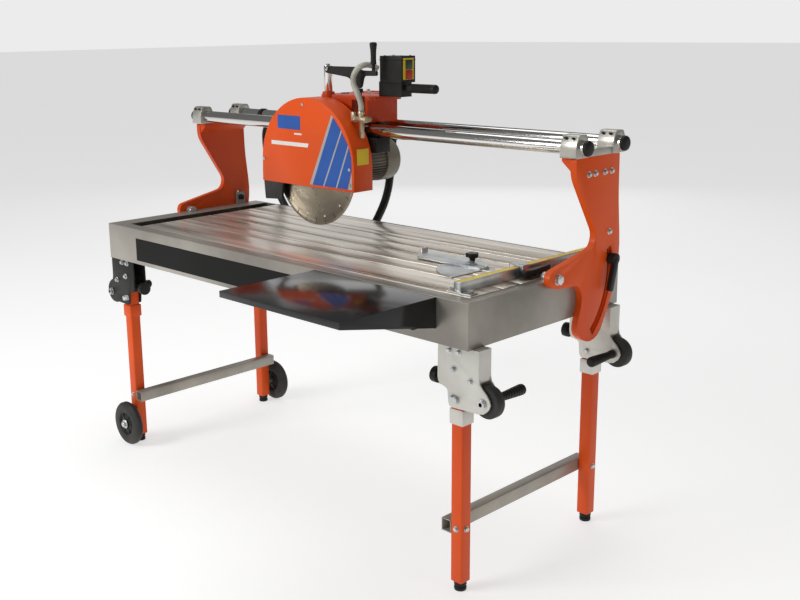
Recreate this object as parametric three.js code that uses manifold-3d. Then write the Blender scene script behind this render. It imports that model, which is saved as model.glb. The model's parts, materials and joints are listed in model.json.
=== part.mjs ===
// Overhead-rail wet tile saw on folding legs. Millimetres, +Z up, X along the table, -Y to the operator.
import * as THREE from "three";
import { mergeGeometries, mergeVertices } from "three/addons/utils/BufferGeometryUtils.js";
import Module from "manifold-3d";

const wasm = await Module();
wasm.setup();

// ---- driving dimensions ----
const GAP = 0.3; // clearance between two pieces that touch
const TABLE_TOP = 752;
const TRAY = { halfLength: 770, halfWidth: 308, depth: 114, wall: 3 };
const RIM = { front: 42, back: 8, left: 64, right: 30 }; // widths of the tray's top flange
const PANEL = { thick: 24, seam: 3, pumpBay: 66 };
const SLOT = { y: 12, width: 10 }; // cutting slot, in the plane of the blade
const PIVOT = { y: SLOT.y, z: TABLE_TOP + 3, bush: 14, pin: 8 }; // axis that the bridge tilts about
const CLAMP = { radius: 224, angle: 5, stud: 6, sweep: 45, margin: 6 }; // degrees about the tilt axis
const RAIL = { front: 90, rear: 252, z: 1073, radius: 19, wall: 5, overhang: 36 };
const UPRIGHT = { thick: 18, top: 1048, horn: 28, hornDeep: 34, pocket: 11, pocketDepth: 6 };
const SADDLE = { width: 40, half: 28, base: 18, cover: 14 };
const BLADE = { x: -105, z: 960, radius: 175, thick: 3.2, flange: 45 };
const GUARD = { front: -20, back: 55, wall: 3, bottom: 905 };
const MOTOR = { radius: 66, start: 72, body: 190, cowl: 58 };
const POST_RADIUS = 0.375 * (RAIL.front - RAIL.radius - GUARD.back); // the post fills 3/4 of that gap
const PLUNGE = {
  leverX: -81, leverZ: 1250, postX: 40, lobe: 55, reach: 196, grip: 62, y: GUARD.back + 1 + POST_RADIUS,
};
const COLUMN = { x: -109, y: 72, radius: 12.5 }; // the post that the lever is hinged on
const CARRIAGE = { left: -137, right: 92, front: 72, mid: 180, back: 285, bottom: 1096, top: 1172, plate: 12 };
const CHEEK_PLATE = { x: 48, rear: 197 }; // the plate that closes the carriage on the right
const SWITCH = { x: 95, y: 90, length: 86, width: 56, floor: 1214, high: 1287, step: 14, button: 9, travel: 3,
  handleZ: 1197, grip: 13 };
const BUTTONS = [1263, 1235]; // heights of the start and stop buttons
const LEG = { x: 720, y: 270, size: 35, wall: 2.5, pivotZ: 505, above: 25, foot: 24, footRadius: 16 };
const COLLAR = { size: 42, low: 440, high: 475 };
const CROSSBAR = { z: 168, height: 34, width: 30, wall: 2.5 };
const CHEEK = { thick: 4, side: GAP + 1 };
const ROLLER = { x: 803, z: 514, radius: 40, width: 28, axle: 6 };
const LOCK = { x: 650, z: 545, radius: 20, thick: 18, pin: 5 };
const GRIP = { radius: 13, length: 106 };
const WHEEL = { x: 712, z: 75, radius: 73, width: 30, axle: 8, clear: 14 };
const SIDE_TABLE = { left: 245, right: 672, reach: 310, lip: 16, sheet: 4, drop: 76 };
const RULE = { x: 686, width: 22, height: 27, front: -250, rear: 298 };
const FENCE = { y: -15, pivotX: 580, armLeft: 325, armHalf: 38, sheet: 3, arm: 4.5, knobX: 505, knobY: 20 };
const PUMP = { x: -672, y: 190, radius: 24, height: 78 };
const CONDUIT = { radius: 14, y: 343 };

// ---- shape helpers ----
const TRAY_END = TRAY.halfLength;
const TRAY_BOTTOM = TABLE_TOP - TRAY.depth;
const ROUND = 16; // sides of a round piece

function solid(geometry) {
  const bare = geometry.clone();
  for (const key of Object.keys(bare.attributes)) if (key !== "position") bare.deleteAttribute(key);
  const whole = mergeVertices(bare, 1e-4);
  const triVerts = new Uint32Array(whole.index.array);
  return new wasm.Manifold(
    new wasm.Mesh({ numProp: 3, vertProperties: whole.attributes.position.array, triVerts }),
  );
}

function geometryOf(made) {
  const mesh = made.getMesh();
  const geometry = new THREE.BufferGeometry();
  geometry.setAttribute("position", new THREE.BufferAttribute(new Float32Array(mesh.vertProperties), 3));
  geometry.setIndex(new THREE.BufferAttribute(new Uint32Array(mesh.triVerts), 1));
  return geometry;
}

const join = (...pieces) => geometryOf(pieces.map(solid).reduce((a, b) => a.add(b)));
const cut = (first, ...tools) => geometryOf(tools.map(solid).reduce((a, b) => a.subtract(b), solid(first)));

function box(x0, x1, y0, y1, z0, z1) {
  const shape = new THREE.BoxGeometry(x1 - x0, y1 - y0, z1 - z0);
  return shape.translate((x0 + x1) / 2, (y0 + y1) / 2, (z0 + z1) / 2);
}

// A geometry drawn along +Z with its section in XY is laid along another axis: the section's two
// coordinates become (y, z) for "x", (x, z) for "y" and stay (x, y) for "z".
function lay(geometry, axis) {
  const turn = new THREE.Matrix4();
  if (axis === "x") turn.set(0, 0, 1, 0, 1, 0, 0, 0, 0, 1, 0, 0, 0, 0, 0, 1);
  if (axis === "y") turn.set(1, 0, 0, 0, 0, 0, -1, 0, 0, 1, 0, 0, 0, 0, 0, 1);
  return geometry.applyMatrix4(turn);
}

// A round bar along an axis, from one coordinate to another, centred on (a, b) of the other two.
function bar(axis, radius, from, to, a, b, endRadius = radius, sides = ROUND) {
  const [low, high] = axis === "y" ? [-to, -from] : [from, to];
  const [lowRadius, highRadius] = axis === "y" ? [endRadius, radius] : [radius, endRadius];
  const shape = new THREE.CylinderGeometry(highRadius, lowRadius, high - low, sides);
  shape.rotateX(Math.PI / 2).translate(a, b, (low + high) / 2);
  return lay(shape, axis);
}

// A flat piece of one thickness along an axis, cut to an outline.
function slab(axis, shape, from, to, curveSegments = 3) {
  const [low, high] = axis === "y" ? [-to, -from] : [from, to];
  const made = new THREE.ExtrudeGeometry(shape, { depth: high - low, bevelEnabled: false, curveSegments });
  return lay(made.translate(0, 0, low), axis);
}

// An outline through corner points [a, b, radius], each corner rounded by its radius.
function outline(corners) {
  const shape = new THREE.Shape();
  corners.forEach(([a, b, radius = 0], i) => {
    const here = new THREE.Vector2(a, b);
    const [beforeA, beforeB] = corners[(i + corners.length - 1) % corners.length];
    const [afterA, afterB] = corners[(i + 1) % corners.length];
    const back = new THREE.Vector2(beforeA, beforeB).sub(here);
    const on = new THREE.Vector2(afterA, afterB).sub(here);
    const reach = Math.min(radius, back.length() / 2.1, on.length() / 2.1);
    const start = here.clone().addScaledVector(back.normalize(), reach);
    const end = here.clone().addScaledVector(on.normalize(), reach);
    if (i === 0) shape.moveTo(start.x, start.y);
    else shape.lineTo(start.x, start.y);
    if (reach > 0) shape.quadraticCurveTo(here.x, here.y, end.x, end.y);
  });
  shape.closePath();
  return shape;
}

const mirrorX = (geometry) => flip(geometry, -1, 1);

function flip(geometry, sx, sy) {
  if (sx * sy > 0 && sx > 0) return geometry.clone();
  const made = geometry.clone().scale(sx, sy, 1);
  if (sx * sy < 0) {
    const flat = made.index ? made.toNonIndexed() : made;
    const p = flat.attributes.position;
    const held = new THREE.Vector3();
    const other = new THREE.Vector3();
    for (let i = 0; i < p.count; i += 3) {
      held.fromBufferAttribute(p, i + 1);
      other.fromBufferAttribute(p, i + 2);
      p.setXYZ(i + 1, other.x, other.y, other.z);
      p.setXYZ(i + 2, held.x, held.y, held.z);
    }
    const bare = new THREE.BufferGeometry().setAttribute("position", p);
    return mergeVertices(bare, 1e-4);
  }
  return made;
}

const FINISH = {
  orange: { color: 0xd9500f, roughness: 0.38, metalness: 0.0 },
  grey: { color: 0x8c8d8e, roughness: 0.4, metalness: 0.3 },
  aluminium: { color: 0xb9b4ab, roughness: 0.32, metalness: 0.9 },
  chrome: { color: 0xd4d4d6, roughness: 0.08, metalness: 1.0 },
  zinc: { color: 0xb8bcc0, roughness: 0.35, metalness: 0.9 },
  black: { color: 0x131313, roughness: 0.45, metalness: 0.0 },
  rubber: { color: 0x1a1a1a, roughness: 0.8, metalness: 0.0 },
  steel: { color: 0x9c9486, roughness: 0.3, metalness: 1.0 },
  cowl: { color: 0x4a463f, roughness: 0.5, metalness: 0.4 },
  red: { color: 0xb01810, roughness: 0.4, metalness: 0.0 },
  green: { color: 0x1f7a35, roughness: 0.4, metalness: 0.0 },
  brass: { color: 0xb9a06a, roughness: 0.35, metalness: 0.9 },
  hose: { color: 0x9a9890, roughness: 0.6, metalness: 0.0 },
};

const saw = new THREE.Group();

function add(name, geometry, finish) {
  const mesh = new THREE.Mesh(geometry, new THREE.MeshStandardMaterial(FINISH[finish]));
  mesh.name = name;
  saw.add(mesh);
}

// ---- tray and table ----
const rad = THREE.MathUtils.degToRad;
const studY = PIVOT.y + CLAMP.radius * Math.cos(rad(CLAMP.angle));
const studZ = PIVOT.z + CLAMP.radius * Math.sin(rad(CLAMP.angle));

function tray() {
  const { halfLength: L, halfWidth: W, wall } = TRAY;
  const inner = box(-L + wall, L - wall, -W + wall, W - wall, TRAY_BOTTOM + wall, TABLE_TOP - wall);
  const mouth = box(-L + RIM.left, L - RIM.right, -W + RIM.front, W - RIM.back, TRAY_BOTTOM + 20, TABLE_TOP + 1);
  const shell = cut(box(-L, L, -W, W, TRAY_BOTTOM, TABLE_TOP), inner, mouth);
  const beamTop = TABLE_TOP - PANEL.thick - GAP;
  const beams = [-600, 0, 690].map((x) => box(x, x + 30, -W + 1, W - 1, beamTop - 22, beamTop));
  const ears = [-1, 1].map((side) => {
    const [a, b] = side > 0 ? [L - 5, L] : [-L, -L + 5];
    return box(a, b, studY - 20, studY + 20, TABLE_TOP - 60, studZ + 20);
  });
  const bushCuts = [-1, 1].map((side) => {
    const [a, b] = side > 0 ? [L - 27, L + 1] : [-L - 1, -L + 27];
    return bar("x", PIVOT.bush + GAP, a, b, PIVOT.y, PIVOT.z);
  });
  const drain = bar("z", 14, TRAY_BOTTOM - 1, TRAY_BOTTOM + 4, L - 90, -W + 60);
  const studs = bar("x", CLAMP.stud + GAP, -L - 1, L + 1, studY, studZ);
  return cut(join(shell, ...beams, ...ears), ...bushCuts, drain, studs);
}

const panelLeft = -TRAY_END + RIM.left + PANEL.pumpBay;
const panelRight = TRAY_END - RIM.right - PANEL.seam;
const panelFront = -TRAY.halfWidth + RIM.front + PANEL.seam;
const panelRear = TRAY.halfWidth - RIM.back - PANEL.seam;

// One panel of the table with a row of grooves along it.
function panel(y0, y1, grooves) {
  const base = box(panelLeft, panelRight, y0, y1, TABLE_TOP - PANEL.thick, TABLE_TOP);
  const slots = grooves.map((y) => box(panelLeft - 1, panelRight + 1, y - 2, y + 2, TABLE_TOP - 6, TABLE_TOP + 1));
  const channels = [];
  const rib = 6;
  const wide = (y1 - y0 - 5 * rib) / 4;
  for (let i = 0; i < 4; i++) {
    const from = y0 + rib + i * (wide + rib);
    channels.push(box(panelLeft - 1, panelRight + 1, from, from + wide, TABLE_TOP - PANEL.thick - 1, TABLE_TOP - 11));
  }
  return cut(base, ...slots, ...channels);
}

add("tray", tray(), "grey");
add("table_front", panel(panelFront, SLOT.y - SLOT.width / 2, [-140, -70]), "aluminium");
add("table_rear", panel(SLOT.y + SLOT.width / 2, panelRear, [85, 152, 186]), "aluminium");

// ---- tilt pivots and clamp levers ----
function pivot() {
  const L = TRAY_END;
  const plate = L + GAP + UPRIGHT.thick;
  return join(
    bar("x", PIVOT.bush, L - 26, L, PIVOT.y, PIVOT.z),
    bar("x", PIVOT.pin, L - 1, plate + GAP + 1, PIVOT.y, PIVOT.z),
    bar("x", 13, plate + 2 * GAP, plate + 9, PIVOT.y, PIVOT.z, 13, 6),
  );
}

function tiltClamp() {
  const face = TRAY_END + 2 * GAP + UPRIGHT.thick;
  const arm = outline([
    [studY - 9, studZ, 6],
    [studY + 9, studZ, 6],
    [studY - 14, studZ - 84, 7],
    [studY - 30, studZ - 80, 7],
  ]);
  return join(
    bar("x", CLAMP.stud, TRAY_END - 14, face + 1, studY, studZ, CLAMP.stud, 16),
    bar("x", 10, TRAY_END - 14, TRAY_END - 6, studY, studZ, 10, 6),
    bar("x", 15, face, face + 22, studY, studZ),
    slab("x", arm, face + 12, face + 24),
  );
}

add("pivot_right", pivot(), "zinc");
add("pivot_left", mirrorX(pivot()), "zinc");
add("tilt_clamp_right", tiltClamp(), "black");
add("tilt_clamp_left", mirrorX(tiltClamp()), "black");

// ---- bridge: uprights, saddles, rails ----
function arcSlot(radius, half, fromDeg, toDeg) {
  const shape = new THREE.Shape();
  shape.absarc(PIVOT.y, PIVOT.z, radius + half, rad(fromDeg), rad(toDeg), false);
  shape.absarc(PIVOT.y, PIVOT.z, radius - half, rad(toDeg), rad(fromDeg), true);
  shape.closePath();
  return shape;
}

function upright() {
  const inner = TRAY_END + GAP;
  const { y, z } = PIVOT;
  const side = outline([
    [RAIL.front - 16, UPRIGHT.top, 6],
    [RAIL.rear + 12, UPRIGHT.top, 6],
    [RAIL.rear + 14, z + 180, 60],
    [y + 271, z + 35, 60],
    [y + 252, z - 60, 70],
    [y + 188, z - 180, 30],
    [y + 140, z - 194, 30],
    [y + 80, z - 160, 30],
    [y + 108, z - 70, 50],
    [y + 92, z - 30, 22],
    [y - 10, z - 24, 14],
    [y - 40, z - 8, 20],
    [y - 34, z + 22, 20],
    [y + 148, z + 58, 34],
    [y + 160, z + 92, 40],
    [RAIL.front - 16, UPRIGHT.top - 46, 30],
  ]);
  const slot = arcSlot(CLAMP.radius, CLAMP.stud + 1, CLAMP.angle - CLAMP.sweep - CLAMP.margin, CLAMP.angle + CLAMP.margin);
  const horn = outline([
    [inner - UPRIGHT.horn, UPRIGHT.top],
    [inner + 1, UPRIGHT.top],
    [inner + 1, UPRIGHT.top - UPRIGHT.hornDeep],
    [inner - UPRIGHT.horn, UPRIGHT.top - 9],
  ]);
  const flange = slab("y", horn, RAIL.front - 14, RAIL.rear + 10);
  const from = CLAMP.angle - CLAMP.sweep - CLAMP.margin - 2;
  const pocket = arcSlot(CLAMP.radius, UPRIGHT.pocket, from, CLAMP.angle + CLAMP.margin + 2);
  const body = join(slab("x", side, inner, inner + UPRIGHT.thick), flange);
  return cut(
    body,
    bar("x", PIVOT.pin + GAP, inner - 1, inner + UPRIGHT.thick + 1, y, z),
    slab("x", slot, inner - 1, inner + UPRIGHT.thick + 1, 12),
    slab("x", pocket, inner + UPRIGHT.thick - UPRIGHT.pocketDepth, inner + UPRIGHT.thick + 1, 12),
  );
}

function saddle() {
  const x0 = TRAY_END - 24;
  const x1 = x0 + SADDLE.width + 8;
  const low = UPRIGHT.top + GAP;
  const high = RAIL.z + RAIL.radius + SADDLE.cover;
  const blocks = [RAIL.front, RAIL.rear].map((y) => {
    const section = outline([
      [y - SADDLE.half, low, 4],
      [y + SADDLE.half, low, 4],
      [y + SADDLE.half, RAIL.z + 8, 10],
      [y + SADDLE.half - 12, high, 6],
      [y - SADDLE.half + 12, high, 6],
      [y - SADDLE.half, RAIL.z + 8, 10],
    ]);
    return slab("x", section, x0, x1, 4);
  });
  const tie = box(x0 + 8, x1 - 4, RAIL.front, RAIL.rear, low, low + SADDLE.base);
  const bores = [RAIL.front, RAIL.rear].map((y) => bar("x", RAIL.radius + GAP, x0 - 1, x1 + 1, y, RAIL.z));
  return cut(join(...blocks, tie), ...bores);
}

add("upright_right", upright(), "orange");
add("upright_left", mirrorX(upright()), "orange");
add("saddle_right", saddle(), "grey");
add("saddle_left", mirrorX(saddle()), "grey");
const railEnd = TRAY_END + RAIL.overhang;
const rail = (y) => cut(
  bar("x", RAIL.radius, -railEnd, railEnd, y, RAIL.z),
  bar("x", RAIL.radius - RAIL.wall, -railEnd - 1, railEnd + 1, y, RAIL.z),
);
add("rail_front", rail(RAIL.front), "chrome");
add("rail_rear", rail(RAIL.rear), "chrome");

// ---- carriage ----
const PILLARS = [140, 204];
const PILLAR = { radius: 12, boss: 20 };
const BORE = RAIL.radius + GAP;

function carriageFrame() {
  const { left, right, front, mid, back, bottom, top, plate } = CARRIAGE;
  const deck = box(left, right, front, mid, top - plate, top);
  const leftPlate = box(left, left + plate, front, mid, bottom, top);
  const rightPlate = box(CHEEK_PLATE.x, CHEEK_PLATE.x + plate, front, CHEEK_PLATE.rear, bottom, top);
  const gusset = box(left, -5, front, front + plate, bottom, top);
  const shoeAt = [left, left + 67];
  const arms = shoeAt.map((x) => box(x, x + 40, mid - 1, back, top - 30, top));
  const shoes = shoeAt.map((x) => box(x, x + 40, RAIL.rear - 30, back, RAIL.z - 10, top - 1));
  const block = box(BLADE.x - 26, BLADE.x + 26, PILLARS[0] - 24, PILLARS[1] + 24, bottom, top);
  const boss = bar("z", COLUMN.radius + 6, top - 22, top + 8, COLUMN.x, COLUMN.y + 4);
  const pillarHoles = PILLARS.map((y) => bar("z", PILLAR.radius + GAP, bottom - 1, top + 1, BLADE.x, y));
  const rails = [RAIL.front, RAIL.rear].map((y) => bar("x", BORE, left - 1, right + 1, y, RAIL.z));
  return cut(join(deck, leftPlate, rightPlate, gusset, ...arms, ...shoes, block, boss), ...pillarHoles, ...rails);
}

// The black lower carriage hooks round the front rail from behind and below.
function lowerCarriage() {
  const { right, bottom } = CARRIAGE;
  const web = RAIL.front + RAIL.radius + 3;
  const beside = MOTOR.radius + 12; // both clips pass beside the motor
  const leftEnd = BLADE.x - beside - 40;
  const lows = [
    [BLADE.x + beside, right + 8],
    [leftEnd, BLADE.x - beside],
  ];
  const clips = lows.map(([x0, x1]) => {
    const under = box(x0, x1, RAIL.front - 21, web + 12, RAIL.z - 62, RAIL.z - RAIL.radius - GAP);
    const back = box(x0, x1, web, web + 12, RAIL.z - 62, bottom - GAP);
    return join(under, back);
  });
  const tie = box(leftEnd, right + 8, web, web + 12, RAIL.z - 20, bottom - GAP);
  return join(...clips, tie);
}

function fulcrumColumn() {
  const { leverX, leverZ, y } = PLUNGE;
  const base = CARRIAGE.top + 8 + GAP;
  return join(
    bar("z", COLUMN.radius, base, leverZ + 6, COLUMN.x, COLUMN.y + 4),
    bar("z", 6, leverZ + 5, leverZ + 12, COLUMN.x, COLUMN.y + 4, 6, 6),
    box(COLUMN.x, leverX - 2, y + 1 + GAP, COLUMN.y + 4, leverZ - 8, leverZ + 4),
    bar("y", 5, y - 12, COLUMN.y, leverX - 8, leverZ - 2, 5, 16),
  );
}

function switchBox() {
  const { x, y, length, width, step, floor, high } = SWITCH;
  const body = box(x, x + length, y, y + width, floor - 1, high);
  const foot = box(x - step, x + length - 10, y + 10, y + width - 4, CARRIAGE.top + GAP, floor);
  const wells = BUTTONS.map((z) =>
    bar("x", SWITCH.button + 1, x + length - 12, x + length + 1, y + width / 2, z),
  );
  return cut(join(body, foot), ...wells);
}

function button(z) {
  const { x, y, length, width } = SWITCH;
  return bar("x", SWITCH.button, x + length - 12 + SWITCH.travel + 2, x + length + 5, y + width / 2, z);
}

function pushHandle() {
  const { x, y, length, width, handleZ, grip } = SWITCH;
  const start = x + length + 4;
  const centreY = y + width / 2;
  return join(
    bar("x", 7, x + length - 9, start + 6, centreY, handleZ, 7, 16),
    bar("x", grip, start, start + 104, centreY, handleZ, grip - 2),
  );
}

add("carriage_frame", carriageFrame(), "orange");
add("lower_carriage", lowerCarriage(), "black");
add("fulcrum_column", fulcrumColumn(), "chrome");
add("switch_box", switchBox(), "black");
add("start_button", button(BUTTONS[0]), "green");
add("stop_button", button(BUTTONS[1]), "red");
add("push_handle", pushHandle(), "black");

// ---- cutting head ----
const GUARD_SIDE = { left: 36, right: 26, straight: 12, crown: 195 }; // beside the blade, above its centre

// Side view of the guard: a round top over the blade, straight sides, flat bottom.
function guardOutline(grow, bottom) {
  const left = BLADE.x - BLADE.radius - GUARD_SIDE.left - grow;
  const right = BLADE.x + BLADE.radius + GUARD_SIDE.right + grow;
  const shoulder = BLADE.z + GUARD_SIDE.straight;
  const shape = new THREE.Shape();
  shape.moveTo(left, bottom);
  shape.lineTo(right, bottom);
  shape.lineTo(right, shoulder);
  shape.absellipse((left + right) / 2, shoulder, (right - left) / 2, GUARD_SIDE.crown + grow, 0, Math.PI, false);
  shape.closePath();
  return shape;
}

function guard() {
  const { front, back, wall, bottom } = GUARD;
  const outer = slab("y", guardOutline(0, bottom), front, back, 16);
  const inside = slab("y", guardOutline(-wall, bottom - 1), front + wall, back - wall, 20);
  const shaft = bar("y", 34, back - wall - 1, back + 1, BLADE.x, BLADE.z);
  const shaftSlot = box(BLADE.x - 34, BLADE.x + 34, back - wall - 1, back + 1, bottom - 1, BLADE.z);
  return cut(outer, inside, shaft, shaftSlot);
}

function flap() {
  const left = BLADE.x - BLADE.radius - 36;
  return slab("y", outline([
    [left + 1, GUARD.bottom - GAP, 2],
    [left + 92, GUARD.bottom - GAP, 2],
    [left + 84, GUARD.bottom - 52, 5],
    [left + 6, GUARD.bottom - 58, 5],
  ]), GUARD.front + 3, GUARD.front + 11);
}

// The blade, its two flanges, the shaft behind it and the nut in front turn together.
function blade() {
  const { x, z, radius, thick, flange } = BLADE;
  const y = SLOT.y;
  return join(
    bar("y", radius, y - thick / 2, y + thick / 2, x, z, radius, 60),
    bar("y", flange, y - thick / 2 - 7, y + thick / 2 + 7, x, z),
    bar("y", 16, y - 20, y, x, z, 16, 6),
    bar("y", 12, y, MOTOR.start - GAP, x, z),
  );
}

function motor() {
  const { radius, start, body, cowl } = MOTOR;
  const barrel = bar("y", radius - 6, start, start + body, BLADE.x, BLADE.z, radius - 6, 30);
  const fins = [];
  const count = 16;
  for (let i = 0; i < count; i++) {
    const fin = box(radius - 12, radius, start + 14, start + body - 1, -1.5, 1.5);
    fin.applyMatrix4(new THREE.Matrix4().makeRotationY((i / count) * 2 * Math.PI));
    fins.push(fin.translate(BLADE.x, 0, BLADE.z));
  }
  const flangePlate = bar("y", radius + 4, start, start + 12, BLADE.x, BLADE.z, radius + 4, 30);
  const cover = bar("y", radius + 1, start + body - 2, start + body + cowl, BLADE.x, BLADE.z, radius - 3, 30);
  const bearing = bar("y", 14, start - 12, start + 1, BLADE.x, BLADE.z);
  const shaftHole = bar("y", 13, start - 13, start + 2, BLADE.x, BLADE.z);
  return cut(join(barrel, ...fins, flangePlate, cover, bearing), shaftHole);
}

// The bracket that carries the motor and the guard: a saddle on the motor, two pillars that slide
// in the carriage, a front plate to the guard and the post that the lever presses on.
function motorMount() {
  const low = BLADE.z + MOTOR.radius + 4 + GAP;
  const high = RAIL.z - RAIL.radius - 8;
  const table = box(BLADE.x - 62, BLADE.x + 62, 80, 268, low, high);
  const pillars = PILLARS.map((y) => bar("z", PILLAR.radius, high - 1, CARRIAGE.top + 2, BLADE.x, y));
  const hanger = box(BLADE.x - 62, PLUNGE.postX + 16, GUARD.back + GAP, PLUNGE.y + POST_RADIUS, low - 20, high + 20);
  const link = box(BLADE.x - 62, BLADE.x + 62, GUARD.back + GAP, 81, low, high);
  const postTop = PLUNGE.leverZ - PLUNGE.lobe - 1;
  const post = bar("z", POST_RADIUS, high + 19, postTop - 5, PLUNGE.postX, PLUNGE.y, POST_RADIUS, 16);
  const head = bar("z", 10, postTop - 9, postTop, PLUNGE.postX, PLUNGE.y, 10, 20);
  return join(table, ...pillars, link, hanger, post, head);
}

// The lever is deep at the pivot and at the lobe that presses the post, and thin under the grip.
function plungeLever() {
  const { leverX: x, leverZ: z, postX, lobe, reach, y } = PLUNGE;
  const end = x + reach;
  const side = outline([
    [x - 18, z - 13, 8],
    [x - 18, z + 6, 8],
    [x + 16, z + 6, 10],
    [postX - 8, z + 6, 20],
    [postX + 14, z - 4, 10],
    [end, z - 4, 5],
    [end, z - 18, 5],
    [postX + 22, z - 19, 8],
    [postX + 12, z - lobe, 10],
    [postX - 12, z - lobe, 10],
    [postX - 31, z - 25, 20],
  ]);
  return cut(
    join(slab("y", side, y - 8, y + 0.5), bar("z", 5, z - 6, z + 24, end - 14, y - 3.5, 5, 16)),
    bar("y", 5 + GAP, y - 20, y + 20, x - 8, z - 2, 5 + GAP, 16),
  );
}

function leverGrip() {
  const { leverX, leverZ, reach, grip, y } = PLUNGE;
  const low = leverZ + 14;
  const body = bar("z", 8, low, low + grip, leverX + reach - 14, y - 3.5, 11);
  return cut(body, bar("z", 5 + GAP, low - 1, leverZ + 25, leverX + reach - 14, y - 3.5, 5 + GAP, 16));
}

const VALVE = { x: 76, y: 28, z: 1110, foot: 53 };

function waterValve() {
  const { x, y, z } = VALVE;
  return join(
    bar("x", 8, x - 26, x + 26, y, z, 8, 16),
    bar("z", 8, z - 1, z + 24, x + 4, y, 8, 16),
    bar("y", 8, y, y + 22, x + 16, z, 8, 16),
    box(x - 34, x - 24, y - 5, y + 5, z - 6, z + 20),
    box(x + 2, x + 10, y - 6, y + 6, z - VALVE.foot, z),
  );
}

// A round tube whose middle line runs through a list of points.
function tube(points, radius, steps, sides) {
  const path = new THREE.CatmullRomCurve3(points.map((p) => new THREE.Vector3(...p)), false, "centripetal");
  const section = new THREE.Shape();
  for (let i = 0; i <= sides; i++) {
    const turn = (i / sides) * 2 * Math.PI;
    if (i === 0) section.moveTo(radius, 0);
    else if (i < sides) section.lineTo(radius * Math.cos(turn), radius * Math.sin(turn));
  }
  section.closePath();
  return new THREE.ExtrudeGeometry(section, { steps, extrudePath: path, bevelEnabled: false });
}

const HOSE_ROUTE = [
  [80, 28, 1135],
  [79, 28, 1154],
  [64, 28, 1186],
  [49, 28, 1216],
  [53, 34, 1244],
  [65, 48, 1260],
  [76, 72, 1261],
  [85, 92, 1251],
];

add("guard", guard(), "orange");
add("guard_flap", flap(), "rubber");
add("blade", blade(), "steel");
add("motor", motor(), "cowl");
add("motor_mount", motorMount(), "black");
add("plunge_lever", plungeLever(), "black");
add("lever_grip", leverGrip(), "black");
add("water_valve", waterValve(), "brass");
add("water_hose", tube(HOSE_ROUTE, 9, 10, 8), "hose");

// ---- folding legs ----
const legBottom = LEG.foot;
const cheekIn = LEG.size / 2 + CHEEK.side; // from the leg's centre plane to a cheek's inner face

function bracket() {
  const outerCheek = outline([
    [LEG.x - 56, TRAY_BOTTOM - GAP, 8],
    [LEG.x + 70, TRAY_BOTTOM - GAP, 2],
    [LEG.x + 70, LEG.pivotZ + 52, 20],
    [ROLLER.x + 12, ROLLER.z + 24, 14],
    [ROLLER.x + 26, ROLLER.z, 14],
    [ROLLER.x + 4, ROLLER.z - 28, 16],
    [LEG.x - 22, LEG.pivotZ - 22, 10],
    [LEG.x - 26, LEG.pivotZ + 22, 5],
    [LEG.x - 58, LEG.pivotZ + 32, 14],
  ]);
  const y = -LEG.y;
  const cheeks = [
    slab("y", outerCheek, y - cheekIn - CHEEK.thick, y - cheekIn, 2),
    slab("y", outerCheek, y + cheekIn, y + cheekIn + CHEEK.thick, 2),
  ];
  const reach = cheekIn + CHEEK.thick;
  const webBottom = LEG.pivotZ + 54;
  const web = box(LEG.x + 64, LEG.x + 70, y - reach, y + reach, webBottom, TRAY_BOTTOM - GAP);
  const cap = box(LEG.x - 50, LEG.x + 66, y - reach, y + reach, TRAY_BOTTOM - GAP - 5, TRAY_BOTTOM - GAP);
  const lockBlock = box(LEG.x - 52, LEG.x - 30, y - reach, y + reach, LOCK.z - 12, LOCK.z + 12);
  return cut(
    join(...cheeks, web, cap, lockBlock),
    bar("y", ROLLER.axle + GAP, y - 40, y + 40, ROLLER.x, ROLLER.z, ROLLER.axle + GAP, 12),
    bar("y", 6 + GAP, y - 40, y + 40, LEG.x, LEG.pivotZ, 6 + GAP, 12),
    bar("x", LOCK.pin + GAP, LEG.x - 60, LEG.x - 20, y, LOCK.z, LOCK.pin + GAP, 12),
  );
}

function leg(withAxle) {
  const { x, size, wall, pivotZ, above } = LEG;
  const y = -LEG.y;
  const half = size / 2;
  const top = pivotZ + above;
  const tubeOut = box(x - half, x + half, y - half, y + half, legBottom, top);
  const hollow = box(x - half + wall, x + half - wall, y - half + wall, y + half - wall, legBottom + wall, top + 1);
  const c = COLLAR.size / 2;
  const collar = cut(
    box(x - c, x + c, y - c, y + c, COLLAR.low, COLLAR.high),
    box(x - half + 1, x + half - 1, y - half + 1, y + half - 1, COLLAR.low - 1, COLLAR.high + 1),
  );
  const pin = bar("y", 6, y - cheekIn - CHEEK.thick - 6, y + cheekIn + CHEEK.thick + 6, x, pivotZ, 6, 12);
  const foot = bar("z", LEG.footRadius, 0, legBottom + 1, x, y, LEG.footRadius - 3, 20);
  const parts = [cut(tubeOut, hollow), collar, pin, foot];
  if (withAxle) {
    const outer = y - half;
    parts.push(bar("y", WHEEL.axle, outer - WHEEL.clear - WHEEL.width - 8, outer + 1, WHEEL.x, WHEEL.z, WHEEL.axle, 20));
    parts.push(bar("y", 13, outer - WHEEL.clear - WHEEL.width - 14, outer - WHEEL.clear - WHEEL.width - 2, WHEEL.x, WHEEL.z));
  }
  return join(...parts);
}

function crossbar() {
  const x1 = LEG.x - LEG.size / 2 - GAP;
  const { z, height, width, wall } = CROSSBAR;
  const ends = LEG.y + LEG.size / 2;
  const outer = box(x1 - width, x1, -ends, ends, z - height / 2, z + height / 2);
  const inner = box(x1 - width + wall, x1 - wall, -ends - 1, ends + 1, z - height / 2 + wall, z + height / 2 - wall);
  return cut(outer, inner);
}

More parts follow.
